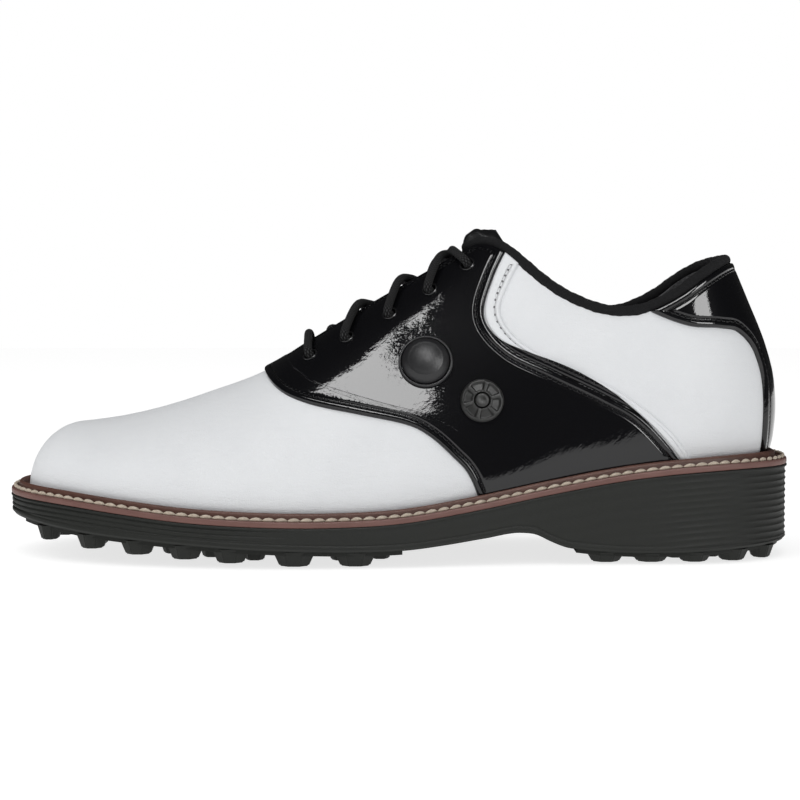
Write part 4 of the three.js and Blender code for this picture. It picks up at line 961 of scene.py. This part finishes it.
knit, tree, shader = finish("black knit", (0.02, 0.02, 0.022), 0.9, sheen=0.3)
where = place(tree)
mesh_cells = node(tree, "TexVoronoi", {"Vector": where, "Scale": 720.0, "Randomness": 0.25}, feature="F1")
loops = calc(tree, "SUBTRACT", 1.0, mesh_cells.outputs["Distance"])
tree.links.new(tint(tree, loops, (0.004, 0.004, 0.005), (0.06, 0.06, 0.064)), shader.inputs["Base Color"])
relief(tree, shader, calc(tree, "ADD", loops, calc(tree, "MULTIPLY", noise(tree, where, 60.0), 1.5)), 0.4)
FACING_END, LINING_ROWS = 30, 110
linings = []
for side in (-1, 1):
    u_steps = np.concatenate([np.linspace(-31, HEEL_X, 170), np.linspace(HEEL_X, BACK_X, 60)[1:]])
    rear_part = u_steps >= FACING_END
    front_u = u_steps[~rear_part]
    tops = np.empty(len(u_steps))
    tops[~rear_part] = at_width(front_u, half_slot(front_u) + 0.4, side)
    at = np.searchsorted(np.linspace(FACING_END, BACK_X, 400), u_steps[rear_part])
    tops[rear_part] = topline_uv(FACING_END, BACK_X, side, 400)[np.clip(at, 0, 399), 1]
    piece, i, j = new_grid(len(u_steps) - 1, LINING_ROWS)
    v = side * 1.0 + (tops[i] - side * 1.0) * np.sin(math.pi / 2 * j / LINING_ROWS) ** 1.2
    depth = np.where(j == LINING_ROWS, -2.2, -3.75 - collar_pad(u_steps[i], v))
    shape(piece, offset(u_steps[i], v, depth))
    tidy_mesh(piece, flip=side < 0)
    linings.append(piece)
lining = joined(linings)
tidy_mesh(lining, weld=2e-5)
finish_piece(lining, "quarter_lining", knit, "shoe", "quarter_lining", slot="textile_black")

# ---------------- the collar's foam
# A soft pad of open-cell foam between the quarters and their lining, from one side round the heel
# to the other.


def cushion(columns, rows, place_of, high_of, low_of):
    """A closed pad between two heights over the last, drawn together along its rim. place_of gives
    (u, v) at shares of its length and width."""
    piece, i, j = new_grid(columns, 2 * rows)
    across = np.where(j <= rows, j, 2 * rows - j) / rows
    u, v = place_of(i / columns, across)
    v = np.where(np.abs(v) < 1e-5, -1e-5, v)
    high, low = high_of(u, v), low_of(u, v)
    rim = (i == 0) | (i == columns) | (across == 0) | (across == 1)
    shape(piece, offset(u, v, np.where(rim, (high + low) / 2, np.where(j <= rows, high, low))))
    tidy_mesh(piece, weld=1e-6, outward=True)
    return piece


def collar_place(along, across):
    """The (u, v) of the pad at shares of its length round the heel and of its depth."""
    round_the_heel = np.abs(along * 2 - 1)
    side = np.where(along < 0.5, -1.0, 1.0)
    u = BACK_X - (BACK_X - 42) * round_the_heel
    top = topline_uv(41, BACK_X, 1, 400)
    v_top = np.interp(u, top[:, 0], top[:, 1]) + 0.06
    return u, side * (v_top + (0.93 - v_top) * across * 0.62)


foam_fill = moulded("foam", (0.60, 0.55, 0.40), (0.70, 0.66, 0.50), 0.9, 1700.0, 0.4, 0.2)
foam = cushion(240, 24, collar_place, lambda u, v: np.full(len(u), -2.4),
               lambda u, v: -3.1 - collar_pad(u, v) * 0.9)
finish_piece(foam, "collar_foam", foam_fill, "shoe", "collar_foam", slot="foam")

# ---------------- the tongue
# Black glove leather over foam with a knit back, sewn in at the throat and padded at its top edge.
# It hinges at that seam, so its leather, foam and lining ride on their own body.
TONGUE_FRONT, TONGUE_TOP = -49, 37.2
tongue_leather, tree, shader = finish("tongue leather", (0.006, 0.006, 0.007), 0.42, specular=0.4)
skin = use(tree, hide)
tree.links.new(tint(tree, skin["Tone"], (0.004, 0.004, 0.005), (0.010, 0.010, 0.011)),
               shader.inputs["Base Color"])
relief(tree, shader, skin["Height"], 0.35)


def tongue_half(u):
    """Half the tongue's width."""
    return 9 + 12 * ease((u - TONGUE_FRONT) / 45)


def tongue_wing(u):
    """The depth of the tongue's sides, under the facings."""
    return -4 - 4 * ease((u + 44) / 7)


def tongue_face(u, y):
    """The depth of the tongue's upper face: crowned between the facings, padded at its top."""
    crown = -4 - 1.9 * ease((u + 44) / 7) + 8.9 * ease((u - 20) / 8.5) - 3.9 * ease((u - 31) / 5.5)
    widening = ease((u - 30) / 5)
    middle_share = 1 - ease((y - half_slot(u) + 4.6 - 3 * widening) / (3.6 + 4 * widening))
    return tongue_wing(u) + (crown - tongue_wing(u)) * middle_share


def over_tongue(u, w, half):
    """The v at a share w, from -1 to 1, of the tongue's width."""
    y = np.abs(w) * half
    return np.sign(w) * (1 - np.arccos(np.clip(y / half_width(u), 0, 1)) / (math.pi / 2))


def tongue_sheet(depth_of, columns, rows, edge_depth, flip):
    """A sheet over the tongue; its outermost ring of vertices lies at edge_depth."""
    piece, i, j = new_grid(columns, rows)
    share = np.clip((i - 1) / (columns - 2), 0, 1)
    u = TONGUE_FRONT + (TONGUE_TOP - TONGUE_FRONT) * share
    w = np.clip((j - 1) / (rows - 2), 0, 1) * 2 - 1
    v = over_tongue(u, w, tongue_half(u))
    rim = (i == 0) | (i == columns) | (j == 0) | (j == rows)
    depth = np.where(rim, edge_depth(u), depth_of(u, np.abs(w) * tongue_half(u), share, w))
    shape(piece, offset(u, np.where(np.abs(v) < 1e-5, -1e-5, v), depth))
    record_values(piece, edge=np.zeros(len(u)), along=np.zeros(len(u)))
    tidy_mesh(piece, flip=flip)
    return piece


def foam_low(u):
    """The depth of the foam's lower face."""
    return tongue_wing(u) - 1.3 - 2 - 1.5 * ease((u - TONGUE_FRONT) / 80)


def leather_depth(u, y, share, w):
    """The leather's face: rolled over at the top edge, quilted, and sunk along its sewn row."""
    rolled = 1.0 * ease((share - 0.985) / 0.015)
    quilted = 0.15 * np.sin(share * 34) * (1 - np.abs(w)) * ease((u - 20) / 8)
    row = 0.5 * np.exp(-((u - 33.2) / 0.5) ** 2)
    return tongue_face(u, y) + 0.12 - rolled + quilted - row


def tongue_place(along, across):
    """The (u, v) of the foam at shares of its length and width, a little inside the leather."""
    u = TONGUE_FRONT + 0.4 + (TONGUE_TOP - TONGUE_FRONT - 0.8) * along
    return u, over_tongue(u, across * 2 - 1, tongue_half(u) - 0.4)


def foam_high(u, v):
    """The depth of the foam's upper face."""
    y = half_width(u) * np.cos(math.pi / 2 * (1 - np.abs(v)))
    return np.maximum(tongue_face(u, y) - 1.45, foam_low(u) - 0.2)


tongue = tongue_sheet(leather_depth, 170, 80, lambda u: foam_low(u) + 0.7, False)
finish_piece(tongue, "tongue", tongue_leather, "tongue", "tongue", slot="patent_black")
tongue_back = tongue_sheet(lambda u, y, share, w: foam_low(u) - 1.05, 90, 44,
                           lambda u: foam_low(u) + 0.9, True)
finish_piece(tongue_back, "tongue_lining", knit, "tongue", "tongue_lining", slot="textile_black")
foam = cushion(90, 50, tongue_place, foam_high, lambda u, v: foam_low(u) - 0.6)
finish_piece(foam, "tongue_foam", foam_fill, "tongue", "tongue_foam", slot="foam")

# ---------------- the welt
# A strip of brown leather sewn round the upper's edge, with a raised lip against the upper. It is
# burnished on its face, paler and dusty on its cut edge, and follows the upper's plan outline.
u_line = np.concatenate([TOE_X + 45 * np.linspace(0, 1, 200) ** 2, np.linspace(-100, 106, 200)[1:-1],
                         np.linspace(106, BACK_X, 120)])
outer = last(u_line, np.full(len(u_line), -1.0))
inner = last(u_line, np.full(len(u_line), 1.0))
OUTLINE = even(np.concatenate([outer, inner[::-1][1:], outer[:1]])[:, :2], 2001)[:-1]
for _ in range(6):
    OUTLINE = (np.roll(OUTLINE, 1, 0) + OUTLINE + np.roll(OUTLINE, -1, 0)) / 3
ahead = np.roll(OUTLINE, -1, 0) - np.roll(OUTLINE, 1, 0)
ahead /= np.linalg.norm(ahead, axis=1, keepdims=True)
AWAY = np.stack([ahead[:, 1], -ahead[:, 0]], -1)
if np.mean(np.sum(AWAY * (OUTLINE - OUTLINE.mean(0)), axis=1)) < 0:
    AWAY = -AWAY
WELT_THICK, WELT_WIDTH, OUTSOLE_REAR = 2.6, 7, 2.2


def plan_at(index, out, rear=0.0):
    """Plan points a distance outside the outline; rear is what is added round the heel."""
    p, n = OUTLINE[index], AWAY[index]
    more = rear * ease((p[:, 0] - 40) / 100)
    return p + n * (np.asarray(out) + more)[:, None]


def sweep(section, rear, stations=1000):
    """A ring round the shoe. section gives (out, height over the feather, cut) round it, and rear is
    what is added round the heel."""
    section = np.array(section, float)
    index = np.linspace(0, len(OUTLINE), stations, endpoint=False).astype(int)
    piece, i, j = new_grid(stations, len(section))
    out, rise, cut = section[j % len(section)].T
    xy = plan_at(index[i % stations], out, rear * ease((out - 3) / 3))
    shape(piece, np.column_stack([xy, feather(xy[:, 0]) + rise]))
    record_values(piece, cut=cut)
    tidy_mesh(piece, weld=1e-6, outward=True)
    return piece


def rounded(points, radius, steps=4):
    """A closed section with its corners rounded."""
    p = np.array(points, float)
    out = []
    for a, b, c in zip(np.roll(p, 1, 0), p, np.roll(p, -1, 0)):
        to_a, to_c = a[:2] - b[:2], c[:2] - b[:2]
        r = min(radius, 0.45 * np.linalg.norm(to_a), 0.45 * np.linalg.norm(to_c))
        start, end = b[:2] + to_a / np.linalg.norm(to_a) * r, b[:2] + to_c / np.linalg.norm(to_c) * r
        for t in np.linspace(0, 1, steps):
            at = (1 - t) ** 2 * start + 2 * t * (1 - t) * b[:2] + t**2 * end
            out.append((*at, b[2]))
    return out


welt_brown, tree, shader = finish("brown welt", (0.15, 0.05, 0.035), 0.52, specular=0.35)
where = place(tree)
mottle = noise(tree, where, 130.0, 4.0, 0.6, (0.5, 1.0, 1.0))
face = tint(tree, mottle, (0.070, 0.028, 0.019), (0.155, 0.068, 0.048))
edge_tone = tint(tree, mottle, (0.115, 0.048, 0.038), (0.215, 0.110, 0.094))
tree.links.new(tint(tree, read(tree, "cut"), face, edge_tone), shader.inputs["Base Color"])
relief(tree, shader, noise(tree, where, 900.0, 3.0, 0.6, (0.4, 1.0, 1.0)), 0.12)
# (out, height, cut edge) round the welt's section: strip, top face, lip.
welt_section = rounded([
    (-5, -2.6, 0), (7, -2.6, 1), (7.1, -1.5, 1), (7, -0.3, 1), (5.5, -0.25, 0), (4.3, -0.35, 0),
    (4.1, 0.4, 0), (4.0, 2.0, 0), (3.2, 2.6, 0), (2.4, 2.2, 0), (2.2, -0.3, 0), (-5, -0.3, 0)], 0.5, 3)
welt = sweep(welt_section, OUTSOLE_REAR)
finish_piece(welt, "welt", welt_brown, "shoe", "welt", slot="welt_brown")

# ---------------- the welt's stitches
# A lockstitch of waxed beige two-ply thread through welt and outsole. Each stitch is a plump bead
# of thread, lying a little slanted in a line near the welt's edge.
thread_beige, tree, shader = finish("waxed thread", (0.48, 0.40, 0.31), 0.6, specular=0.4)
strands = noise(tree, place(tree), 1500.0, 2.0, 0.5, (0.5, 1.0, 1.6))
tree.links.new(tint(tree, strands, (0.26, 0.20, 0.14), (0.72, 0.63, 0.52)), shader.inputs["Base Color"])
relief(tree, shader, strands, 0.2)
STITCH_PITCH, STITCH_OUT, STITCH_SLANT = 4.6, 5.6, 0.13
STITCH_HALF, STITCH_WIDE, STITCH_THICK, STITCH_BOW = 2.45, 0.72, 0.78, 0.35
row_points = plan_at(np.arange(len(OUTLINE)), np.full(len(OUTLINE), STITCH_OUT), OUTSOLE_REAR)
row_points = np.concatenate([row_points, row_points[:1]])
row_far = walk(row_points)


def on_row(far):
    """The plan point that far along the row."""
    return np.array([np.interp(far, row_far, row_points[:, axis]) for axis in (0, 1)])


count = int(round(row_far[-1] / STITCH_PITCH))
rng = np.random.default_rng(7)
bpy.ops.object.select_all(action="DESELECT")
bpy.ops.mesh.primitive_uv_sphere_add(segments=8, ring_count=6, radius=1)
bead = bpy.context.object
bead_points = np.array([v.co for v in bead.data.vertices])[:, [2, 0, 1]]
bead_faces = [tuple(f.vertices) for f in bead.data.polygons]
fat = 1 - 0.42 * np.abs(bead_points[:, 0]) ** 3
all_points, all_faces = [], []
for k in range(count):
    at = (k + 0.5) / count * row_far[-1]
    x, y = on_row(at)
    way = on_row(at + 0.5) - (x, y)
    turn = math.atan2(way[1], way[0]) + STITCH_SLANT + rng.normal(0, 0.03)
    slope = float(feather(x + math.cos(turn)) - feather(x - math.cos(turn))) / 2
    local = bead_points * (STITCH_HALF + rng.normal(0, 0.06), STITCH_WIDE, STITCH_THICK)
    local = local * np.stack([np.ones(len(fat)), fat, fat], -1)
    bow = STITCH_BOW * (1 - (local[:, 0] / 2.4) ** 2)
    all_faces += [tuple(n + k * len(bead_points) for n in f) for f in bead_faces]
    all_points.append(np.column_stack([
        x + local[:, 0] * math.cos(turn) - local[:, 1] * math.sin(turn),
        y + local[:, 0] * math.sin(turn) + local[:, 1] * math.cos(turn),
        feather(x) + local[:, 2] + bow + local[:, 0] * slope]) * MM)
bead.data.clear_geometry()
bead.data.from_pydata(np.concatenate(all_points).tolist(), [], all_faces)
finish_piece(bead, "welt_stitches", thread_beige, "shoe")

# ---------------- the outsole
# One moulding of dark rubber: ribbed round the heel and lined along the forefoot, hollowed at the
# arch, with an angled heel breast. It is stitched to the welt and cemented.
sole_rubber = moulded("outsole rubber", (0.011, 0.0122, 0.0106), (0.021, 0.0225, 0.0195),
                       0.62, 1400.0, 0.10, 0.25)
underside = profile([
    (-170, 17), (-152, 15.6), (-130, 12.9), (-112, 10.9), (-90, 9.1), (-58, 6.9), (-33, 6), (-10, 5.7),
    (4, 6.2), (18, 7.8), (32, 9.9), (46, 11.8), (51, 11.2), (57, 8.4), (63, 6.1), (68, 5.4), (140, 5.4),
    (170, 6.5)])
SIDE_ROWS, FLOOR_ROWS, STATIONS = 110, 24, 400
start = int(np.argmin(OUTLINE[:, 0]))
order = (np.arange(len(OUTLINE)) + start) % len(OUTLINE)
forward = OUTLINE[order[20], 1] < OUTLINE[start, 1]
to_heel = int(np.argmax(OUTLINE[order, 0]))
one_way = order[np.linspace(0, to_heel, STATIONS + 1).astype(int)]
other_way = order[np.linspace(len(OUTLINE), to_heel, STATIONS + 1).astype(int) % len(OUTLINE)]
lateral, medial = (one_way, other_way) if forward else (other_way, one_way)


def side_relief(x, share, height):
    """How far the sole's side stands in, in millimetres: ribs at the heel, lines at the forefoot."""
    down = share * height
    heel = ease((x - 84) / 26)
    ribbed = (down > 0.9) * (down < height - 1.2)
    ribs = heel * 0.48 * np.abs(np.sin(math.pi * (down - 0.8) / 2.4)) ** 0.6 * ribbed
    ribs = ribs * (0.45 + 0.55 * ease((x - 92) / 25))
    fore = ease((-28 - x) / 40)
    lines = sum(np.exp(-((down - at) / 0.35) ** 2) for at in (1.3, 3.2, 5.0))
    low_line = 0.30 * np.exp(-((height - down - 2.6) / 0.4) ** 2) * (1 - heel)
    waist = ease((x + 20) / 25) * (1 - heel)
    wavy = 0.05 * waist * np.sin(math.pi * down / 2.4)
    bead = -0.35 * np.exp(-((down - 0.5) / 0.5) ** 2)
    return ribs + fore * 0.42 * lines + low_line + wavy + bead + 0.5


ring_rows = 2 * SIDE_ROWS + FLOOR_ROWS
piece, i, j = new_grid(STATIONS, ring_rows)
points = np.empty((len(i), 3))
for side_index, chosen in ((lateral, j <= SIDE_ROWS), (medial, j >= SIDE_ROWS + FLOOR_ROWS)):
    k = side_index[i[chosen]]
    share = j[chosen] / SIDE_ROWS if side_index is lateral else (ring_rows - j[chosen]) / SIDE_ROWS
    x = plan_at(k, np.full(len(k), float(WELT_WIDTH)), OUTSOLE_REAR)[:, 0]
    top, foot = feather(x) - WELT_THICK - 0.15, underside(x)
    height = top - foot
    inward = side_relief(x, share, height) + 0.9 * ease((share * height - height + 1.2) / 1.2) - 0.35
    points[chosen] = np.column_stack([plan_at(k, WELT_WIDTH - inward, OUTSOLE_REAR), top - share * height])
between = (j > SIDE_ROWS) & (j < SIDE_ROWS + FLOOR_ROWS)
ends = np.empty((2, STATIONS + 1, 3))
for which, row in enumerate((SIDE_ROWS, SIDE_ROWS + FLOOR_ROWS)):
    ends[which, i[j == row]] = points[j == row]
t = ((j[between] - SIDE_ROWS) / FLOOR_ROWS)[:, None]
flat = ends[0, i[between]] * (1 - t) + ends[1, i[between]] * t
flat[:, 2] = underside(flat[:, 0])
points[between] = flat
shape(piece, points)
tidy_mesh(piece, weld=1e-6, fill=True, outward=True)
finish_piece(piece, "outsole_unit", sole_rubber, "shoe", "outsole_unit", slot="outsole_rubber")

# ---------------- the treads
# Two rubber plates moulded apart and bonded under the outsole, with tapered lugs: big ones along
# the edges and six-sided ones between them.


def width_at(x, index, out, rear=0.0):
    """The plan line at a distance outside the outline on one side: its y at each x."""
    xy = plan_at(index, np.full(len(index), float(out)), rear)
    order = np.argsort(xy[:, 0])
    return np.interp(x, xy[order, 0], xy[order, 1])


def edge_y(x, side, inset):
    """Where the sole's edge stands at x, a little inside it."""
    return float(width_at(x, lateral if side < 0 else medial, WELT_WIDTH - inset, OUTSOLE_REAR))


PLATE_THICK, PLATE_INSET, LUG_TAPER, LUG_SOFT, LUG_SUNK = 1.7, 3.2, 0.68, 0.45, 0.4
EDGE_LUG_INSET, EDGE_LUG_WIDE, MIDDLE_INSET, MIDDLE_LUG, MIDDLE_PITCH = 9.2, 7.0, 19, 5.4, 15


def lug(x, y, foot_of, long, wide, sides):
    """A tapered lug, wider where it meets the plate, with a softened foot. One flat faces outward."""
    foot, top = foot_of(x), float(underside(x)) - LUG_SUNK
    bpy.ops.object.select_all(action="DESELECT")
    bpy.ops.mesh.primitive_cylinder_add(vertices=sides, radius=1, depth=1)
    made = bpy.context.object
    bm = bmesh.new()
    bm.from_mesh(made.data)
    for vert in bm.verts:
        share = LUG_TAPER if vert.co.z < 0 else 1.0
        around = math.atan2(vert.co.y, vert.co.x) + math.pi / sides
        vert.co = Vector((math.cos(around) * share, math.sin(around) * share, vert.co.z))
    bmesh.ops.scale(bm, vec=(long, wide, top - foot), verts=bm.verts)
    sharp = [e for e in bm.edges if e.verts[0].co.z < 0 or e.verts[1].co.z < 0]
    bmesh.ops.bevel(bm, geom=sharp, offset=LUG_SOFT, segments=2, affect="EDGES")
    bmesh.ops.translate(bm, vec=(x, y, (top + foot) / 2), verts=bm.verts)
    bmesh.ops.scale(bm, vec=(MM, MM, MM), verts=bm.verts)
    bm.to_mesh(made.data)
    bm.free()
    return made


def tread(name, low, high, foot_of, edge_rows, middle_rows):
    """A tread plate between two stations, with its lugs."""
    columns, rows = 90, 14
    piece, i, j = new_grid(columns, rows)
    stations = low + (high - low) * np.arange(columns + 1) / columns
    limit = np.array([[edge_y(x, side, PLATE_INSET) for side in (-1, 1)] for x in stations])
    share = np.clip((j - 1) / (rows - 2), 0, 1)
    y = limit[i, 0] * (1 - share) + limit[i, 1] * share
    turned = (j == 0) | (j == rows)
    x = stations[i]
    shape(piece, np.column_stack([x, y, underside(x) - np.where(turned, 0.1, PLATE_THICK)]))
    tidy_mesh(piece, flip=True)
    made = [piece]
    for x, long in edge_rows:
        for side in (-1, 1):
            y = edge_y(x, side, 0) - side * EDGE_LUG_INSET
            made.append(lug(x, y, foot_of, long, EDGE_LUG_WIDE, 8))
    for row, x in enumerate(middle_rows):
        reach = min(-edge_y(x, -1, MIDDLE_INSET), edge_y(x, 1, MIDDLE_INSET))
        if reach < 3:
            continue
        many = max(int(reach * 2 // MIDDLE_PITCH), 1)
        for y in np.linspace(-reach, reach, many + row % 2 + 1):
            made.append(lug(x, y, foot_of, MIDDLE_LUG, MIDDLE_LUG, 6))
    finish_piece(joined(made), name, sole_rubber, "shoe", name, slot="outsole_rubber")
    for face in piece.data.polygons:
        face.use_smooth = False


lug_foot = profile([(-152, 9.6), (-112, 5), (-90, 3.3), (-66, 1.6), (-46, 0.4), (-30, 0), (-20, 0), (10, 0)])
FORE_LUGS = [(-133, 5), (-115, 6.4), (-97, 7.2), (-79, 7.4), (-62, 7.6), (-38.5, 8.6), (-16, 8.6)]
tread("forefoot_tread", -144, 1.5, lambda x: float(lug_foot(x)), FORE_LUGS,
      [-130, -115, -100, -85, -70, -54, -38, -22, -7])
HEEL_LUGS = [(78, 8.0), (95, 8.0), (111.5, 7.4), (126.5, 6.8), (139, 5.2)]
tread("heel_tread", 66.5, 149.5, lambda x: 0.0, HEEL_LUGS, [78, 92, 106, 120, 133])

# ---------------- the footbed
# A foam insole under a knit cover, dished at the heel. It lies loose on the insole board.
columns, rows = 200, 60
piece, i, j = new_grid(columns, rows)
FOOTBED_TOE, FOOTBED_HEEL = -138, 132.5
FOOTBED_INSET, FOOTBED_TOP, FOOTBED_LOW = 5.4, 6.3, 2.5
share = 0.5 - 0.5 * np.cos(math.pi * np.arange(columns + 1) / columns)
stations = FOOTBED_TOE + (FOOTBED_HEEL - FOOTBED_TOE) * share
limits = [width_at(stations, index, -FOOTBED_INSET) for index in (lateral, medial)]
x = stations[i]
share = np.clip((j - 1) / (rows - 2), 0, 1)
y = limits[0][i] * (1 - share) + limits[1][i] * share
top = feather(x) + FOOTBED_TOP + 0.5 * np.abs(2 * share - 1) ** 4 * ease((x - 20) / 40)
shape(piece, np.column_stack([x, y, np.where((j == 0) | (j == rows), feather(x) + FOOTBED_LOW, top)]))
tidy_mesh(piece)
finish_piece(piece, "footbed", knit, "shoe", "footbed", slot="footbed")

# ---------------- the pump
# A moulded rubber socket through the saddle, and in it a soft rubber dome with a faint raised ring
# that is pressed to blow up the bladder. The dome rides on its own body.


def lathe(name, section, sides, at, side=-1):
    """A turned piece whose axis is the last's normal; section is (radius, height) points. Gives the
    piece and its centre, axis and two directions across."""
    u, v = on_side(np.array([at[0]]), np.array([at[1]]), side)
    centre, axis = last(u, v)[0], last_normal(u, v)[0]
    across = np.cross((0.0, 0.0, 1.0), axis)
    across /= np.linalg.norm(across)
    up = np.cross(axis, across)
    section = np.array(section, float)
    piece, i, j = new_grid(sides, len(section) - 1)
    angle = 2 * math.pi * (i % sides) / sides
    r, h = section[j].T
    shape(piece, centre + across * (np.cos(angle) * r)[:, None] + up * (np.sin(angle) * r)[:, None]
          + axis * h[:, None])
    tidy_mesh(piece, weld=1e-6, outward=True)
    piece.name = name
    return piece, centre, axis, across, up


bulb_rubber = moulded("pump rubber", (0.010, 0.010, 0.011), (0.020, 0.020, 0.022), 0.42, 2200.0, 0.05, 0.5)
socket, *_ = lathe("pump_socket", [
    (0, -2.2), (9.8, -2.2), (9.9, 1.2), (10.15, 1.45), (10.3, 1.75), (10.28, 2.3), (10.05, 2.7), (9.75, 2.85),
    (9.4, 2.75), (9.15, 2.4), (9.12, 2.0), (9.1, -1.4), (0, -1.4)], 96, PUMP_AT)
finish_piece(socket, "pump_socket", bulb_rubber, "shoe", "pump_socket", slot="pump_rubber")
dome = [(8.95 * math.cos(a), 2.6 + 4.85 * math.sin(a) ** 1.05) for a in np.linspace(0, math.pi / 2, 26)[1:]]
raised = [(r, h + 0.14 * float(ease((7.3 - r) / 0.4) * ease((r - 6.2) / 0.4))) for r, h in dome]
bulb, *_ = lathe("pump_bulb", [(7.4, 1.1), (8.9, 1.1), (8.95, 1.9), (8.95, 2.6), *raised], 96, PUMP_AT)
finish_piece(bulb, "pump_bulb", bulb_rubber, "pump_bulb", "pump_bulb", slot="pump_rubber")

# ---------------- the release valve
# A black plastic dial with six pockets let into the saddle below the pump, and in its middle the
# push button that lets the air out. The button rides on its own body.
valve_plastic = moulded("valve plastic", (0.011, 0.0114, 0.0106), (0.020, 0.020, 0.019),
                        0.42, 2600.0, 0.05, 0.5)
bezel, centre, axis, across, up = lathe("release_bezel", [
    (0, -2.3), (5.6, -2.3), (5.6, 1.5), (7.7, 1.5), (8.1, 1.8), (8.15, 2.4), (7.9, 2.9), (7.3, 3.45),
    (7.0, 3.6), (6.6, 3.6), (6.2, 3.6), (5.7, 3.6), (5.2, 3.6), (4.7, 3.6), (4.3, 3.6), (3.9, 3.6),
    (3.5, 3.6), (3.2, 3.5), (2.95, 3.2), (2.95, -1.5), (0, -1.5)], 144, VALVE_AT)
POCKETS, POCKET_DEEP, POCKET_IN, POCKET_OUT = 6, 1.35, 3.5, 7.15
for vert in bezel.data.vertices:
    away = np.array(vert.co) / MM - centre
    h = away @ axis
    a, b = away @ across, away @ up
    r = math.hypot(a, b)
    if h > 3.3 and 3.6 < r < POCKET_OUT:
        turn = math.atan2(b, a) / (2 * math.pi) * POCKETS + 0.25
        beside = abs(turn - round(turn))
        narrow = 0.38 + 0.04 * (r - 3.6) / 3.5
        walls = float(ease((POCKET_OUT - r) / 0.5) * ease((r - POCKET_IN) / 0.5))
        deep = POCKET_DEEP * float(ease((narrow - beside) / 0.10)) * walls
        slope = 1 - 0.45 * (7.1 - r) / 3.4
        vert.co = Vector((centre + axis * (h - deep * slope) + across * a + up * b) * MM)
finish_piece(bezel, "release_bezel", valve_plastic, "shoe", "release_bezel", slot="valve_plastic")
button, *_ = lathe("release_button", [
    (0, 0.9), (2.6, 0.9), (2.65, 3.7), (2.5, 4.1), (2.1, 4.28), (1.2, 4.3), (0.9, 4.15), (0, 4.1)],
    48, VALVE_AT)
finish_piece(button, "release_button", valve_plastic, "release_button", "release_button",
             slot="valve_plastic")

# ---------------- the eyelets
# Small black enamelled steel rings pressed into the facings, their barrels open to the inside.
enamel = moulded("black enamel", (0.008, 0.008, 0.009), (0.014, 0.014, 0.015), 0.22, 1200.0, 0.03, 0.7)
for side_name, side in (("lateral", -1), ("medial", 1)):
    for number, at in enumerate(EYELETS, 1):
        ring, *_ = lathe("eyelet", [
            (2.2, -2.2), (2.9, -2.2), (2.9, 1.2), (3.0, 1.45), (2.98, 1.68), (2.8, 1.86),
            (2.55, 1.9), (2.35, 1.8), (2.24, 1.5), (2.2, -2.2)], 40, at, side)
        piece_name = f"eyelet_{side_name}_{number}"
        finish_piece(ring, piece_name, enamel, "shoe", piece_name, slot="eyelet_black")

# ---------------- the pieces that never show
# Stiffeners of board, the air bladders with their hose and valve in clear film, the insole board,
# the steel shank and spring, and the cork filler. They lie between the layers, in their CAD shape.
stiffener = moulded("stiffener board", (0.52, 0.48, 0.38), (0.63, 0.58, 0.48), 0.8, 900.0, 0.15, 0.2)
bladder_film = moulded("bladder film", (0.24, 0.27, 0.29), (0.34, 0.38, 0.40), 0.3, 300.0, 0.1, 0.6)
board_fibre = moulded("board fibre", (0.38, 0.28, 0.17), (0.50, 0.38, 0.24), 0.85, 1300.0, 0.2, 0.2)
cork_grain = moulded("cork", (0.20, 0.12, 0.06), (0.36, 0.24, 0.13), 0.9, 500.0, 0.5, 0.2)
bare_steel, tree, shader = finish("spring steel", (0.55, 0.55, 0.57), 0.3, metal=1.0)
brushed = noise(tree, place(tree), 600.0, 2.0, 0.5, (0.05, 1.0, 1.0))
tree.links.new(remap(tree, brushed, 0.3, 0.7, 0.24, 0.42), shader.inputs["Roughness"])
relief(tree, shader, brushed, 0.03)
INNER = {
    "facing_stay_lateral": stiffener, "facing_stay_medial": stiffener, "toe_puff": stiffener,
    "heel_counter": stiffener, "air_bladder_lateral": bladder_film, "air_bladder_medial": bladder_film,
    "air_hose": bladder_film, "vamp_lining": knit,
    "insole_board": board_fibre, "shank": bare_steel, "cork_filler": cork_grain,
    "pump_check_valve": bladder_film, "release_spring": bare_steel,
}
for name, material in INNER.items():
    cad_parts[name].data.materials.clear()
    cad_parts[name].data.materials.append(material)

size = {"cad_low": list(cad_low), "cad_high": list(cad_high)}
low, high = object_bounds()
size["low"], size["high"] = list(low), list(high)
